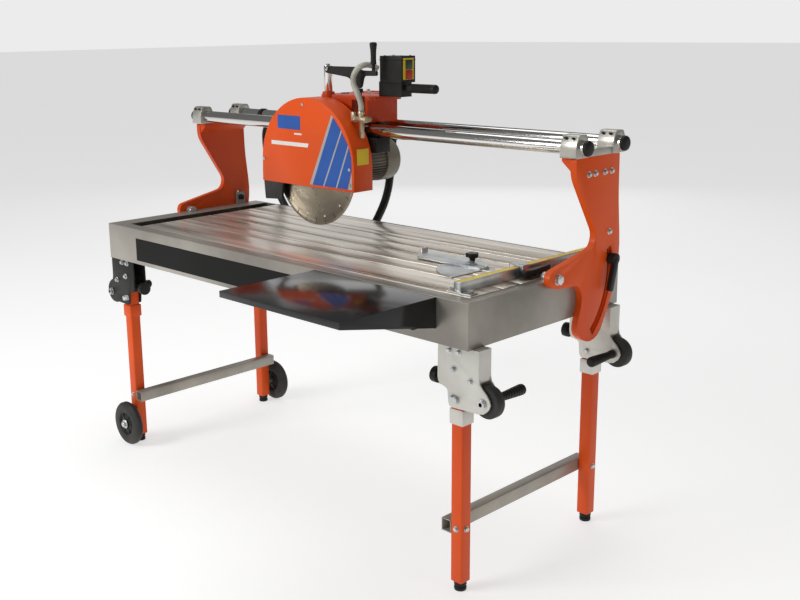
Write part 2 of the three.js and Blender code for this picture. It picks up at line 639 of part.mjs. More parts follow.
function handle() {
  const y = -LEG.y;
  const inside = y + cheekIn + CHEEK.thick;
  return join(
    bar("y", ROLLER.axle, y - cheekIn - CHEEK.thick - 9, inside + 6, ROLLER.x, ROLLER.z, ROLLER.axle, 20),
    bar("y", 11, y - cheekIn - CHEEK.thick - 9, y - cheekIn - CHEEK.thick - GAP, ROLLER.x, ROLLER.z, 11, 6),
    bar("y", GRIP.radius - 3, inside + GAP, inside + GAP + GRIP.length, ROLLER.x, ROLLER.z, GRIP.radius + 1),
  );
}

function roller() {
  const y = -LEG.y;
  const { width, radius, axle } = ROLLER;
  const disc = bar("y", radius, y - width / 2, y + width / 2, ROLLER.x, ROLLER.z, radius, 24);
  return cut(disc, bar("y", axle + GAP, y - width, y + width, ROLLER.x, ROLLER.z, axle + GAP, 20));
}

function lockKnob() {
  const y = -LEG.y;
  return join(
    bar("x", LOCK.radius, LOCK.x - LOCK.thick, LOCK.x, y, LOCK.z),
    bar("x", 9, LOCK.x - 1, LEG.x - 52 - GAP, y, LOCK.z),
    bar("x", LOCK.pin, LOCK.x, LEG.x + 12, y, LOCK.z, LOCK.pin, 12),
  );
}

function wheel() {
  const y = -LEG.y - LEG.size / 2 - WHEEL.clear;
  const { radius, width, axle } = WHEEL;
  const disc = bar("y", radius, y - width, y, WHEEL.x, WHEEL.z, radius, 30);
  const dish = bar("y", radius - 22, y - width - 1, y - width + 7, WHEEL.x, WHEEL.z, radius - 26, 24);
  const back = bar("y", radius - 26, y - 7, y + 1, WHEEL.x, WHEEL.z, radius - 22, 24);
  const hub = bar("y", 20, y - width + 4, y - 1, WHEEL.x, WHEEL.z);
  const bore = bar("y", axle + GAP, y - width - 2, y + 2, WHEEL.x, WHEEL.z, axle + GAP, 20);
  return cut(join(cut(disc, dish, back), hub), bore);
}

const corners = { right_front: [1, 1], right_rear: [1, -1], left_front: [-1, 1], left_rear: [-1, -1] };
for (const [corner, [sx, sy]] of Object.entries(corners)) {
  add(`bracket_${corner}`, flip(bracket(), sx, sy), "zinc");
  add(`handle_${corner}`, flip(handle(), sx, sy), "black");
  add(`roller_${corner}`, flip(roller(), sx, sy), "rubber");
  add(`lock_knob_${corner}`, flip(lockKnob(), sx, sy), "black");
  add(`leg_${corner}`, flip(leg(sx < 0), sx, sy), "orange");
  if (sx < 0) add(`wheel_${sy > 0 ? "front" : "rear"}`, flip(wheel(), sx, sy), "rubber");
}
add("crossbar_right", crossbar(), "grey");
add("crossbar_left", mirrorX(crossbar()), "grey");

// ---- side table ----
function sideTable() {
  const { left, right, reach, lip, sheet, drop } = SIDE_TABLE;
  const back = -TRAY.halfWidth - GAP - 1;
  const front = back - reach;
  const top = TABLE_TOP - 1;
  const gusset = (x) => slab("x", outline([
    [back, top - 1],
    [front, top - 1],
    [front, top - lip],
    [back, top - drop],
  ]), x, x + sheet);
  return join(
    box(left, right, front, back, top - sheet, top),
    box(left, right, front, front + sheet, top - lip, top),
    box(left, right, back - sheet, back, top - drop, top),
    gusset(left),
    gusset(right - sheet),
  );
}
add("side_table", sideTable(), "black");

// ---- rule and angle fence ----
const ON_TABLE = TABLE_TOP + GAP;
add("fence_rule", box(RULE.x - RULE.width / 2, RULE.x + RULE.width / 2, RULE.front, RULE.rear, ON_TABLE,
  ON_TABLE + RULE.height), "aluminium");

function fenceSlider() {
  const { pivotX, y, sheet } = FENCE;
  const ruleTop = ON_TABLE + RULE.height + GAP;
  const low = RULE.x - RULE.width / 2 - GAP;
  const high = RULE.x + RULE.width / 2 + GAP;
  const sector = new THREE.Shape();
  sector.moveTo(pivotX, y);
  sector.lineTo(pivotX + 128 * Math.cos(rad(135)), y + 128 * Math.sin(rad(135)));
  sector.absarc(pivotX, y, 128, rad(135), rad(268), false);
  sector.closePath();
  const blockSides = [box(low - 9, low, y - 13, y + 13, ON_TABLE, ruleTop + 6), box(high, high + 12, y - 13, y + 13,
    ON_TABLE, ruleTop + 6)];
  const bridge = box(low - 9, high + 12, y - 13, y + 13, ruleTop, ruleTop + 6);
  const link = box(pivotX - 12, low - 2, y - 16, y + 16, ON_TABLE, ON_TABLE + sheet);
  const pin = bar("z", 5, ON_TABLE, ON_TABLE + 11, pivotX, y, 5, 16);
  const cam = slab("z", outline([
    [high + 10, y - 22, 8],
    [high + 30, y - 26, 9],
    [high + 32, y + 10, 12],
    [high + 22, y + 88, 5],
    [high + 12, y + 88, 5],
    [high + 10, y + 14, 10],
  ]), ON_TABLE + 6, ON_TABLE + 21);
  return join(slab("z", sector, ON_TABLE, ON_TABLE + sheet, 16), ...blockSides, bridge, link, pin, cam);
}

function fenceArm() {
  const { pivotX, y, armLeft, armHalf, sheet, arm } = FENCE;
  const mid = 0;
  const low = ON_TABLE + sheet + GAP;
  const side = outline([
    [armLeft + 34, mid - armHalf, 6],
    [armLeft, mid + 10, 6],
    [armLeft, mid + armHalf, 6],
    [pivotX - 56, mid + armHalf, 14],
    [pivotX, y + 16, 10],
    [pivotX + 10, y, 10],
    [pivotX, y - 16, 10],
    [pivotX - 60, mid - armHalf, 14],
  ]);
  const rib = box(armLeft + 2, armLeft + 7, mid + 10, mid + armHalf - 3, low, low + 16);
  return cut(join(slab("z", side, low, low + arm), rib), bar("z", 5 + GAP, low - 1, low + arm + 1, pivotX, y, 5 + GAP, 16));
}

function fenceKnob() {
  const { knobX, knobY, sheet, arm } = FENCE;
  const low = ON_TABLE + sheet + arm + 2 * GAP;
  const grip = [];
  for (let i = 0; i < 5; i++) {
    const turn = (i / 5) * 2 * Math.PI;
    grip.push(bar("z", 6, low + 10, low + 21, knobX + 12 * Math.cos(turn), knobY + 12 * Math.sin(turn), 6, 8));
  }
  return join(bar("z", 7, low, low + 11, knobX, knobY, 9, 20), bar("z", 14, low + 10, low + 21, knobX, knobY), ...grip);
}

add("fence_slider", fenceSlider(), "zinc");
add("fence_arm", fenceArm(), "zinc");
add("fence_knob", fenceKnob(), "black");

// ---- water pump in the tray ----
function pump() {
  const base = TRAY_BOTTOM + TRAY.wall + GAP;
  return join(
    bar("z", PUMP.radius, base, base + PUMP.height, PUMP.x, PUMP.y),
    bar("z", 8, base + PUMP.height - 1, base + PUMP.height + 14, PUMP.x, PUMP.y + 8, 8, 16),
  );
}
add("pump", pump(), "black");

// ---- hanging conduit from the carriage to the left upright ----
const CONDUIT_ROUTE = [
  [-103, CONDUIT.y, 1012],
  [-107, CONDUIT.y, 960],
  [-115, CONDUIT.y, 900],
  [-129, CONDUIT.y, 840],
  [-160, CONDUIT.y, 775],
  [-213, CONDUIT.y, 705],
  [-290, CONDUIT.y, 650],
  [-385, CONDUIT.y, 622],
  [-485, CONDUIT.y, 630],
  [-575, CONDUIT.y, 675],
  [-650, CONDUIT.y, 745],
  [-702, CONDUIT.y, 825],
  [-728, CONDUIT.y - 4, 905],
  [-724, CONDUIT.y - 16, 972],
  [-690, CONDUIT.y - 36, 1020],
  [-630, CONDUIT.y - 58, 1033],
];
// The part's own frame has its origin at the middle of the underside, measured without the conduit.
const bounds = new THREE.Box3().setFromObject(saw);
const middle = bounds.getCenter(new THREE.Vector3());
add("supply_conduit", tube(CONDUIT_ROUTE, CONDUIT.radius, 30, 8), "rubber");
saw.position.set(-middle.x, -middle.y, -bounds.min.z);

const part = new THREE.Group();
part.add(saw);
export default part;
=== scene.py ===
import json
import math

import bmesh
import bpy
from mathutils import Matrix, Vector


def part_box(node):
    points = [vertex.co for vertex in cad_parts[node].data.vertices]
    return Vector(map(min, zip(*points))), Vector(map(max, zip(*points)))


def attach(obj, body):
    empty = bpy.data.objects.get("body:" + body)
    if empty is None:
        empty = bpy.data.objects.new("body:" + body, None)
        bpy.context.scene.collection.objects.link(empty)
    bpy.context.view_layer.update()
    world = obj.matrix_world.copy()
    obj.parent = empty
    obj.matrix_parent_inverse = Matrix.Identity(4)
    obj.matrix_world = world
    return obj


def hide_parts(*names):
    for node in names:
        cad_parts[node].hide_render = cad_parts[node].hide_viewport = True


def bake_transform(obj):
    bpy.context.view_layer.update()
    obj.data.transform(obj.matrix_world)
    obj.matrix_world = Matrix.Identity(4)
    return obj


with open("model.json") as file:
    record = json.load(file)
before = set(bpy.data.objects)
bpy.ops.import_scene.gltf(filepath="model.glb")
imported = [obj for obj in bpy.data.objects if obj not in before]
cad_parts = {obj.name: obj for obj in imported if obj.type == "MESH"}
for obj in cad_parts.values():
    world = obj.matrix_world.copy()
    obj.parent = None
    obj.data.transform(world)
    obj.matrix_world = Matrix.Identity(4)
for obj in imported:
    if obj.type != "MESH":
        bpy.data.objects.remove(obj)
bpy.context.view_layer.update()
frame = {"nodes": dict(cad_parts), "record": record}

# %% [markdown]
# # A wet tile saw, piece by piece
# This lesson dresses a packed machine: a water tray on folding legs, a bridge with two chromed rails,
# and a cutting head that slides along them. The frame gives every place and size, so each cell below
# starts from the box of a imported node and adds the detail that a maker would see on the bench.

record = frame["record"]
scene = bpy.context.scene
body_of = {node: body for body, nodes in record["behaviour"]["bodies"].items() for node in nodes}
axis_of = {
    joint["name"]: Vector(joint["pos_m"]) for joint in record["behaviour"]["joints"] if "pos_m" in joint
}

# %% [markdown]
# ## The camera
# A three-quarter view from the right front, a little above the rails. The small shift keeps the
# machine in the middle without tilting the lens. It is made first, because the cords are measured
# against what it sees.

# %% Camera
lens = bpy.data.cameras.new("camera")
lens.lens = 48.5
lens.shift_x = 0.0416
lens.shift_y = -0.0246
lens.clip_end = 200
camera = bpy.data.objects.new("camera", lens)
scene.collection.objects.link(camera)
heading, dip, lean = 0.7985, 0.2336, -0.0129
camera.matrix_world = (
    Matrix.Translation((2.312, -1.996, 1.376))
    @ Matrix.Rotation(heading, 4, "Z")
    @ Matrix.Rotation(math.pi / 2 - dip, 4, "X")
    @ Matrix.Rotation(lean, 4, "Z")
)
scene.camera = camera
print("camera at", [round(value, 3) for value in camera.matrix_world.translation])

# %% [markdown]
# ## Helpers for shapes
# Each helper starts a bmesh from one of Blender's own shapes, works it with operators and hands it
# back. A shape is drawn standing on +Z and then laid along the axis it is wanted on, so one recipe
# makes a rail, a knob and a wheel. The pieces of one part are gathered into one mesh at the end.


# %% Shape helpers
def laid(shape, axis="z", at=(0, 0, 0), turn=0.0):
    """Turns a shape drawn along +Z so that it stands along an axis, and moves it into place."""
    stand = {
        "z": Matrix.Identity(4),
        "-z": Matrix.Rotation(math.pi, 4, "X"),
        "x": Matrix.Rotation(math.pi / 2, 4, "Y"),
        "-x": Matrix.Rotation(-math.pi / 2, 4, "Y"),
        "y": Matrix.Rotation(-math.pi / 2, 4, "X"),
        "-y": Matrix.Rotation(math.pi / 2, 4, "X"),
    }[axis]
    place = Matrix.Translation(at) @ stand @ Matrix.Rotation(turn, 4, "Z")
    bmesh.ops.transform(shape, matrix=place, verts=shape.verts)
    return shape


def rounded(shape, width, segments=2, sharper_than=35):
    """Bevels the edges that turn by more than an angle."""
    if width <= 0:
        return shape
    limit = math.radians(sharper_than)
    edges = [edge for edge in shape.edges if edge.is_manifold and edge.calc_face_angle(0) > limit]
    bmesh.ops.bevel(
        shape, geom=edges, offset=width, offset_type="OFFSET", affect="EDGES",
        segments=segments, profile=0.5, material=-1, clamp_overlap=True,
    )
    return shape


def turned(profile, steps=48):
    """A lathe: (radius, height) points from the bottom up, spun once round +Z and closed."""
    shape = bmesh.new()
    points = [shape.verts.new((radius, 0, height)) for radius, height in profile]
    edges = [shape.edges.new(pair) for pair in zip(points, points[1:])]
    bmesh.ops.spin(
        shape, geom=points + edges, cent=(0, 0, 0), axis=(0, 0, 1), dvec=(0, 0, 0),
        angle=math.tau, steps=steps, use_merge=True, use_duplicate=False,
    )
    bmesh.ops.remove_doubles(shape, verts=shape.verts, dist=1e-6)
    bmesh.ops.holes_fill(shape, edges=[edge for edge in shape.edges if edge.is_boundary], sides=0)
    bmesh.ops.recalc_face_normals(shape, faces=shape.faces)
    return shape


def rod(radius, length, edge=0.0005, steps=32):
    """A round bar on +Z with softened rims."""
    return turned([
        (0, 0), (radius - edge, 0), (radius, edge),
        (radius, length - edge), (radius - edge, length), (0, length),
    ], steps)


def block(low, high, width=0.001, segments=2):
    """A box between two corners with rounded edges."""
    low, high = Vector(low), Vector(high)
    shape = bmesh.new()
    bmesh.ops.create_cube(shape, size=1)
    bmesh.ops.scale(shape, vec=high - low, verts=shape.verts)
    bmesh.ops.translate(shape, vec=(low + high) / 2, verts=shape.verts)
    return rounded(shape, min(width, 0.45 * min(high - low)), segments)


def plate(corners, thick, width=0.0004, segments=1):
    """A flat piece: corners in XY, from z = 0 up to its thickness."""
    shape = bmesh.new()
    face = shape.faces.new([shape.verts.new((x, y, 0)) for x, y in corners])
    made = bmesh.ops.extrude_face_region(shape, geom=[face])
    top = [item for item in made["geom"] if isinstance(item, bmesh.types.BMVert)]
    bmesh.ops.translate(shape, vec=(0, 0, thick), verts=top)
    bmesh.ops.recalc_face_normals(shape, faces=shape.faces)
    return rounded(shape, width, segments)


def hexagon(across, height, washer=0.0, edge=0.0006):
    """A hexagon head, with a washer under it if one is wanted."""
    head = bmesh.new()
    bmesh.ops.create_cone(
        head, cap_ends=True, segments=6, depth=height,
        radius1=across / math.sqrt(3), radius2=across / math.sqrt(3),
    )
    bmesh.ops.translate(head, vec=(0, 0, height / 2 + 0.0012), verts=head.verts)
    rounded(head, edge, 2)
    if washer:
        joined(head, rod(washer, 0.0016, 0.0004, 28))
    return head


def spun(shape, share):
    """Turns a shape round +Z by a share of a full turn."""
    bmesh.ops.rotate(shape, matrix=Matrix.Rotation(share * math.tau, 3, "Z"), verts=shape.verts)
    return shape


def joined(first, *others):
    """Adds other shapes to the first one."""
    for other in others:
        carrier = bpy.data.meshes.new("carrier")
        other.to_mesh(carrier)
        other.free()
        first.from_mesh(carrier)
        bpy.data.meshes.remove(carrier)
    return first


def piece(name, shapes, finish, body, smooth_below=38, stands_for=()):
    """Gathers shapes into one mesh object, gives it its finish and lets it ride on a body."""
    whole = joined(bmesh.new(), *(shapes if isinstance(shapes, list) else [shapes]))
    mesh = bpy.data.meshes.new(name)
    whole.to_mesh(mesh)
    whole.free()
    mesh.shade_smooth()
    mesh.set_sharp_from_angle(angle=math.radians(smooth_below))
    mesh.materials.append(finish)
    made = bpy.data.objects.new(name, mesh)
    scene.collection.objects.link(made)
    if body:
        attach(made, body)
    if stands_for:
        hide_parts(*([stands_for] if isinstance(stands_for, str) else stands_for))
    return made


def dressed(node, finish, width=0.0008, segments=2, chosen=None, wide=0.003, smooth_below=40):
    """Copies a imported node, welds it and rounds its edges; chosen edges get a wider round."""
    shape = bmesh.new()
    shape.from_mesh(frame["nodes"][node].data)
    bmesh.ops.remove_doubles(shape, verts=shape.verts, dist=2e-5)
    bmesh.ops.dissolve_limit(
        shape, angle_limit=math.radians(1.2), use_dissolve_boundaries=False,
        verts=shape.verts, edges=shape.edges,
    )
    if chosen:
        edges = [
            edge for edge in shape.edges
            if edge.is_manifold and edge.calc_face_angle(0) > math.radians(45) and chosen(edge)
        ]
        bmesh.ops.bevel(
            shape, geom=edges, offset=wide, offset_type="OFFSET", affect="EDGES",
            segments=4, profile=0.5, material=-1, clamp_overlap=True,
        )
    rounded(shape, width, segments, 42)
    return piece(f"{node}_dressed", [shape], finish, body_of[node], smooth_below, node)


def box_of(node):
    """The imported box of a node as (lowest corner, highest corner)."""
    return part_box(node)


print("shape helpers ready")

# %% [markdown]
# ## Finishes
# Every finish starts from the same idea: a slow cloud of noise shifts the colour and the roughness a
# little, and a fine grain makes the bump. What differs is the scale, the direction and how much. The
# pattern follows Object coordinates, so it stays put when a piece moves.


# %% The base of every finish
def grained(name, colour, rough, metal=0.0, coat=0.0, cloud=5.0, drift=0.12, swing=0.08, grain=300.0,
            relief=0.04, along=(1, 1, 1), tint=None, depth=0.0006, gleam=0.35):
    """A Principled surface whose colour and roughness drift slowly and whose grain lifts the surface."""
    made = bpy.data.materials.new(name)
    made.use_nodes = True
    made.diffuse_color = (*colour, 1)
    nodes, links = made.node_tree.nodes, made.node_tree.links
    shader = nodes["Principled BSDF"]
    shader.inputs["Metallic"].default_value = metal
    shader.inputs["Coat Weight"].default_value = coat
    shader.inputs["Coat Roughness"].default_value = 0.12
    shader.inputs["Specular IOR Level"].default_value = gleam
    where = nodes.new("ShaderNodeTexCoord")
    stretch = nodes.new("ShaderNodeMapping")
    stretch.inputs["Scale"].default_value = along
    links.new(where.outputs["Object"], stretch.inputs["Vector"])
    slow = nodes.new("ShaderNodeTexNoise")
    slow.inputs["Scale"].default_value = cloud
    slow.inputs["Detail"].default_value = 6
    links.new(stretch.outputs["Vector"], slow.inputs["Vector"])
    ramp = nodes.new("ShaderNodeValToRGB")
    other = tint or tuple(channel * (1 - 2.2 * drift) for channel in colour)
    ramp.color_ramp.elements[0].position = 0.33
    ramp.color_ramp.elements[0].color = (*other, 1)
    ramp.color_ramp.elements[1].position = 0.62
    ramp.color_ramp.elements[1].color = (*[min(1, channel * (1 + drift)) for channel in colour], 1)
    links.new(slow.outputs["Fac"], ramp.inputs["Fac"])
    links.new(ramp.outputs["Color"], shader.inputs["Base Color"])
    spread = nodes.new("ShaderNodeMapRange")
    spread.inputs["To Min"].default_value = max(0.02, rough - swing)
    spread.inputs["To Max"].default_value = min(1, rough + swing)
    links.new(slow.outputs["Fac"], spread.inputs["Value"])
    links.new(spread.outputs["Result"], shader.inputs["Roughness"])
    fine = nodes.new("ShaderNodeTexNoise")
    fine.inputs["Scale"].default_value = grain
    fine.inputs["Detail"].default_value = 2
    links.new(stretch.outputs["Vector"], fine.inputs["Vector"])
    lift = nodes.new("ShaderNodeBump")
    lift.inputs["Strength"].default_value = relief
    lift.inputs["Distance"].default_value = depth
    links.new(fine.outputs["Fac"], lift.inputs["Height"])
    links.new(lift.outputs["Normal"], shader.inputs["Normal"])
    return made


# %% [markdown]
# Paint, plating, castings and mouldings. Powder coat has a soft orange-peel, brushed metal is
# stretched along the way it was drawn, zinc plate has a bluish cloud, rubber is dull and dusty.

# %% Finishes for this machine
orange_paint = grained("orange_paint", (0.74, 0.088, 0.005), 0.42, coat=0.05, cloud=3, drift=0.06, grain=420,
                       relief=0.10, tint=(0.66, 0.064, 0.004), gleam=0.25)
guard_paint = grained("guard_paint", (0.79, 0.088, 0.003), 0.42, coat=0.05, cloud=3, drift=0.05, grain=420,
                      relief=0.08, tint=(0.75, 0.085, 0.004), gleam=0.25)
# The carriage is orange like the bridge; this darker copy of the orange paint is painted shade.
shaded_carriage_paint = grained("shaded_carriage_paint", (0.54, 0.052, 0.005), 0.44, coat=0.05, cloud=3, drift=0.06,
                         grain=420, relief=0.10, tint=(0.44, 0.036, 0.004), gleam=0.22)
tray_paint = grained("tray_paint", (0.40, 0.375, 0.33), 0.36, metal=0.55, cloud=2.2, drift=0.12, grain=260,
                     relief=0.06, tint=(0.225, 0.21, 0.185))
# The table's colour clouds run from dull greige to near white: water smears together with painted reflection
# and painted highlight.
table_metal_smears_and_sheen = grained("table_metal_smears_and_sheen", (0.80, 0.745, 0.655), 0.30, metal=0.75, cloud=1.0, drift=0.14,
                      swing=0.12, grain=9, relief=0.25, along=(1.6, 34, 34), tint=(0.46, 0.40, 0.33),
                      depth=0.0004)
cast_metal = grained("cast_metal", (0.50, 0.49, 0.45), 0.36, metal=0.75, cloud=9, drift=0.14, grain=500,
                     relief=0.22, tint=(0.36, 0.345, 0.30))
chrome = grained("chrome", (0.70, 0.69, 0.67), 0.10, metal=1.0, cloud=3, drift=0.05, swing=0.03, grain=40,
                 relief=0.02, along=(0.6, 12, 12))
zinc = grained("zinc", (0.60, 0.61, 0.60), 0.32, metal=0.85, cloud=14, drift=0.14, grain=160, relief=0.10,
               tint=(0.42, 0.44, 0.46))
pale_plate = grained("pale_plate", (0.66, 0.65, 0.60), 0.38, metal=0.45, cloud=5, drift=0.08, grain=220,
                     relief=0.06, tint=(0.52, 0.505, 0.45))
grey_bar = grained("grey_bar", (0.42, 0.39, 0.34), 0.38, metal=0.4, cloud=6, drift=0.10, grain=260,
                   relief=0.06)
black_cast = grained("black_cast", (0.016, 0.016, 0.015), 0.42, cloud=14, drift=0.3, grain=520, relief=0.22,
                     tint=(0.030, 0.029, 0.027), gleam=0.14)
black_mould = grained("black_mould", (0.014, 0.014, 0.013), 0.36, cloud=10, drift=0.25, grain=900,
                      relief=0.12, tint=(0.026, 0.026, 0.025), gleam=0.14)
black_gloss = grained("black_gloss", (0.006, 0.006, 0.006), 0.16, coat=0.12, cloud=3, drift=0.2, swing=0.06,
                      grain=120, relief=0.02, tint=(0.012, 0.012, 0.013), gleam=0.3)
band_black = grained("band_black", (0.005, 0.0045, 0.004), 0.30, cloud=3, drift=0.2, swing=0.06,
                     grain=160, relief=0.02, tint=(0.009, 0.008, 0.008), gleam=0.10)
tyre_rubber = grained("tyre_rubber", (0.022, 0.022, 0.021), 0.62, cloud=18, drift=0.3, grain=700, relief=0.2,
                      tint=(0.050, 0.048, 0.044))
cowl_paint = grained("cowl_paint", (0.225, 0.205, 0.165), 0.42, metal=0.35, cloud=8, drift=0.15, grain=420,
                     relief=0.14, tint=(0.155, 0.140, 0.112))
hose_grey = grained("hose_grey", (0.50, 0.485, 0.42), 0.45, cloud=20, drift=0.1, grain=300, relief=0.1,
                    tint=(0.36, 0.34, 0.29))
brass_fitting = grained("brass_fitting", (0.66, 0.60, 0.44), 0.30, metal=0.7, cloud=20, drift=0.14, grain=260,
                        relief=0.1, tint=(0.45, 0.38, 0.24))
scale_yellow = grained("scale_yellow", (0.80, 0.58, 0.02), 0.40, cloud=12, drift=0.08, grain=300, relief=0.04)
stripe_blue = grained("stripe_blue", (0.016, 0.095, 0.40), 0.40, cloud=6, drift=0.08, grain=300, relief=0.04)
stripe_grey = grained("stripe_grey", (0.42, 0.42, 0.42), 0.34, cloud=6, drift=0.06, grain=300, relief=0.04)
label_white = grained("label_white", (0.82, 0.80, 0.76), 0.38, cloud=8, drift=0.04, grain=300, relief=0.03)
go_green = grained("go_green", (0.030, 0.060, 0.045), 0.34, cloud=16, drift=0.15, grain=300, relief=0.05)
stop_red = grained("stop_red", (0.42, 0.030, 0.015), 0.34, cloud=16, drift=0.12, grain=300, relief=0.05)
print("finishes", len(bpy.data.materials))

# %% [markdown]
# ## Blade steel
# A diamond blade is ground on a rotary table, so its grain runs in rings round the bore. Rings come
# from the distance to the shaft: the coordinates are moved to the blade's centre, their length across
# the disc is taken and fed to a noise that only sees that length.

# %% Blade steel
blade_centre = axis_of["blade_spin"]
blade_steel = grained("blade_steel", (0.42, 0.355, 0.27), 0.27, metal=1.0, cloud=6, drift=0.10, grain=200,
                      relief=0.03, tint=(0.31, 0.26, 0.19))
nodes, links = blade_steel.node_tree.nodes, blade_steel.node_tree.links
where = nodes.new("ShaderNodeTexCoord")
centred = nodes.new("ShaderNodeMapping")
centred.inputs["Location"].default_value = (-blade_centre.x, 0, -blade_centre.z)
centred.inputs["Scale"].default_value = (1, 0, 1)
reach = nodes.new("ShaderNodeVectorMath")
reach.operation = "LENGTH"
rings = nodes.new("ShaderNodeTexNoise")
rings.noise_dimensions = "1D"
rings.inputs["Scale"].default_value = 900
scratch = nodes.new("ShaderNodeBump")
scratch.inputs["Strength"].default_value = 0.7
scratch.inputs["Distance"].default_value = 0.0003
links.new(where.outputs["Object"], centred.inputs["Vector"])
links.new(centred.outputs["Vector"], reach.inputs[0])
links.new(reach.outputs["Value"], rings.inputs["W"])
links.new(rings.outputs["Fac"], scratch.inputs["Height"])
links.new(scratch.outputs["Normal"], nodes["Principled BSDF"].inputs["Normal"])
print("blade ground round", [round(value, 3) for value in blade_centre])

# %% [markdown]
# ## The hanging conduit
# A ribbed black conduit brings the cable from the left end of the rails to the sliding carriage. It
# hangs free between its two ends, so it is a real cord: one smooth line of points, a ring of ribs every
# few millimetres, and a length that is measured. A curve with a round bevel makes the tube; letting the
# radius of each point go up and down makes the ribs. It stretches between the bridge and the carriage.


# %% Ribbed tube helper
def smooth_line(points, gap):
    """A smooth line through given points, as evenly spaced points."""
    line = bpy.data.curves.new("line", "CURVE")
    line.dimensions = "3D"
    spline = line.splines.new("BEZIER")
    spline.bezier_points.add(len(points) - 1)
    for handle, place in zip(spline.bezier_points, points):
        handle.co = place
        handle.handle_left_type = handle.handle_right_type = "AUTO"
    line.resolution_u = 24
    holder = bpy.data.objects.new("line", line)
    scene.collection.objects.link(holder)
    bpy.context.view_layer.update()
    raw = [vertex.co.copy() for vertex in holder.to_mesh().vertices]
    bpy.data.objects.remove(holder)
    bpy.data.curves.remove(line)
    even = [raw[0]]
    carried = 0.0
    for a, b in zip(raw, raw[1:]):
        step = (b - a).length
        while step > 0 and carried + step >= gap:
            a = a + (b - a) * ((gap - carried) / step)
            even.append(a.copy())
            step = (b - a).length
            carried = 0.0
        carried += step
    even.append(raw[-1])
    return even


def hose(name, points, radius, rib, finish, depth=0.14):
    """A ribbed tube on a line of points: every other point of the curve is a groove."""
    line = smooth_line(points, rib / 2)
    curve = bpy.data.curves.new(name, "CURVE")
    curve.dimensions = "3D"
    curve.bevel_depth = radius
    curve.bevel_resolution = 4
    curve.use_fill_caps = True
    spline = curve.splines.new("POLY")
    spline.points.add(len(line) - 1)
    for number, (point, place) in enumerate(zip(spline.points, line)):
        point.co = (*place, 1)
        point.radius = 1.0 if number % 2 else 1.0 - depth
    holder = bpy.data.objects.new("holder", curve)
    scene.collection.objects.link(holder)
    bpy.context.view_layer.update()
    mesh = bpy.data.meshes.new_from_object(holder)
    bpy.data.objects.remove(holder)
    bpy.data.curves.remove(curve)
    mesh.name = name
    mesh.materials.clear()
    mesh.materials.append(finish)
    mesh.shade_smooth()
    made = bpy.data.objects.new(name, mesh)
    scene.collection.objects.link(made)
    length = sum((b - a).length for a, b in zip(line, line[1:]))
    return made, line, length


# %% Hanging conduit
conduit_rear = 0.4799
conduit_route = [
    (-0.103, conduit_rear, 1.012),
    (-0.107, conduit_rear, 0.960),
    (-0.115, conduit_rear, 0.900),
    (-0.129, conduit_rear, 0.840),
    (-0.160, conduit_rear, 0.775),
    (-0.213, conduit_rear, 0.705),
    (-0.290, conduit_rear, 0.650),
    (-0.385, conduit_rear, 0.622),
    (-0.485, conduit_rear, 0.630),
    (-0.575, conduit_rear, 0.675),
    (-0.650, conduit_rear, 0.745),
    (-0.702, conduit_rear, 0.825),
    (-0.728, conduit_rear - 0.004, 0.905),
    (-0.724, conduit_rear - 0.016, 0.972),
    (-0.690, conduit_rear - 0.036, 1.020),
    (-0.630, conduit_rear - 0.058, 1.033),
]
conduit, conduit_line, conduit_length = hose(
    "supply_conduit_tube", conduit_route, 0.0138, 0.007, black_mould)
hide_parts("supply_conduit")
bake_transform(conduit)
print("conduit length", round(conduit_length, 3), "faces", len(conduit.data.polygons))

# %% [markdown]
# ## The water hose
# A ribbed grey hose loops from the switch box over the lever and down to the tee on the guard.

# %% Water hose
hose_route = [
    (0.080, 0.1649, 1.135),
    (0.079, 0.1649, 1.154),
    (0.064, 0.1649, 1.186),
    (0.049, 0.1649, 1.216),
    (0.053, 0.1709, 1.244),
    (0.065, 0.1849, 1.260),
    (0.076, 0.2089, 1.261),
    (0.085, 0.2289, 1.251),
]
water_hose, _, hose_length = hose(
    "water_hose_ribbed", hose_route, 0.0088, 0.005, hose_grey, 0.10)
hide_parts("water_hose")
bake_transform(water_hose)
print("water hose length", round(hose_length, 3))

# %% [markdown]
# ## Floor and light
# A plain pale floor and four soft lights: a large key from the front left, a broad one overhead, a
# weak warm fill on the right and a low one behind that only shows as a shine on the table. The end
# faces stay darker than the fronts. The floor glows a little, so that it meets the pale backdrop.

# %% Floor and light
ground = bmesh.new()
bmesh.ops.create_grid(ground, x_segments=2, y_segments=2, size=60)
floor_mesh = bpy.data.meshes.new("floor")
ground.to_mesh(floor_mesh)
ground.free()
floor_finish = grained("floor_finish", (0.60, 0.60, 0.60), 0.85, cloud=0.6, drift=0.01, swing=0.04, grain=30,
                       relief=0.01)
floor_shader = floor_finish.node_tree.nodes["Principled BSDF"]
floor_shader.inputs["Emission Color"].default_value = (1, 1, 1, 1)
floor_shader.inputs["Emission Strength"].default_value = 0.60
floor_mesh.materials.append(floor_finish)
floor = bpy.data.objects.new("floor", floor_mesh)
scene.collection.objects.link(floor)


def soft_light(name, place, target, size, power, colour=(1, 1, 1)):
    """A square area light that faces a point."""
    lamp = bpy.data.lights.new(name, "AREA")
    lamp.size = size
    lamp.energy = power
    lamp.color = colour
    holder = bpy.data.objects.new(name, lamp)
    aim = (Vector(target) - Vector(place)).to_track_quat("-Z", "Y").to_matrix().to_4x4()
    holder.matrix_world = Matrix.Translation(place) @ aim
    scene.collection.objects.link(holder)
    return holder


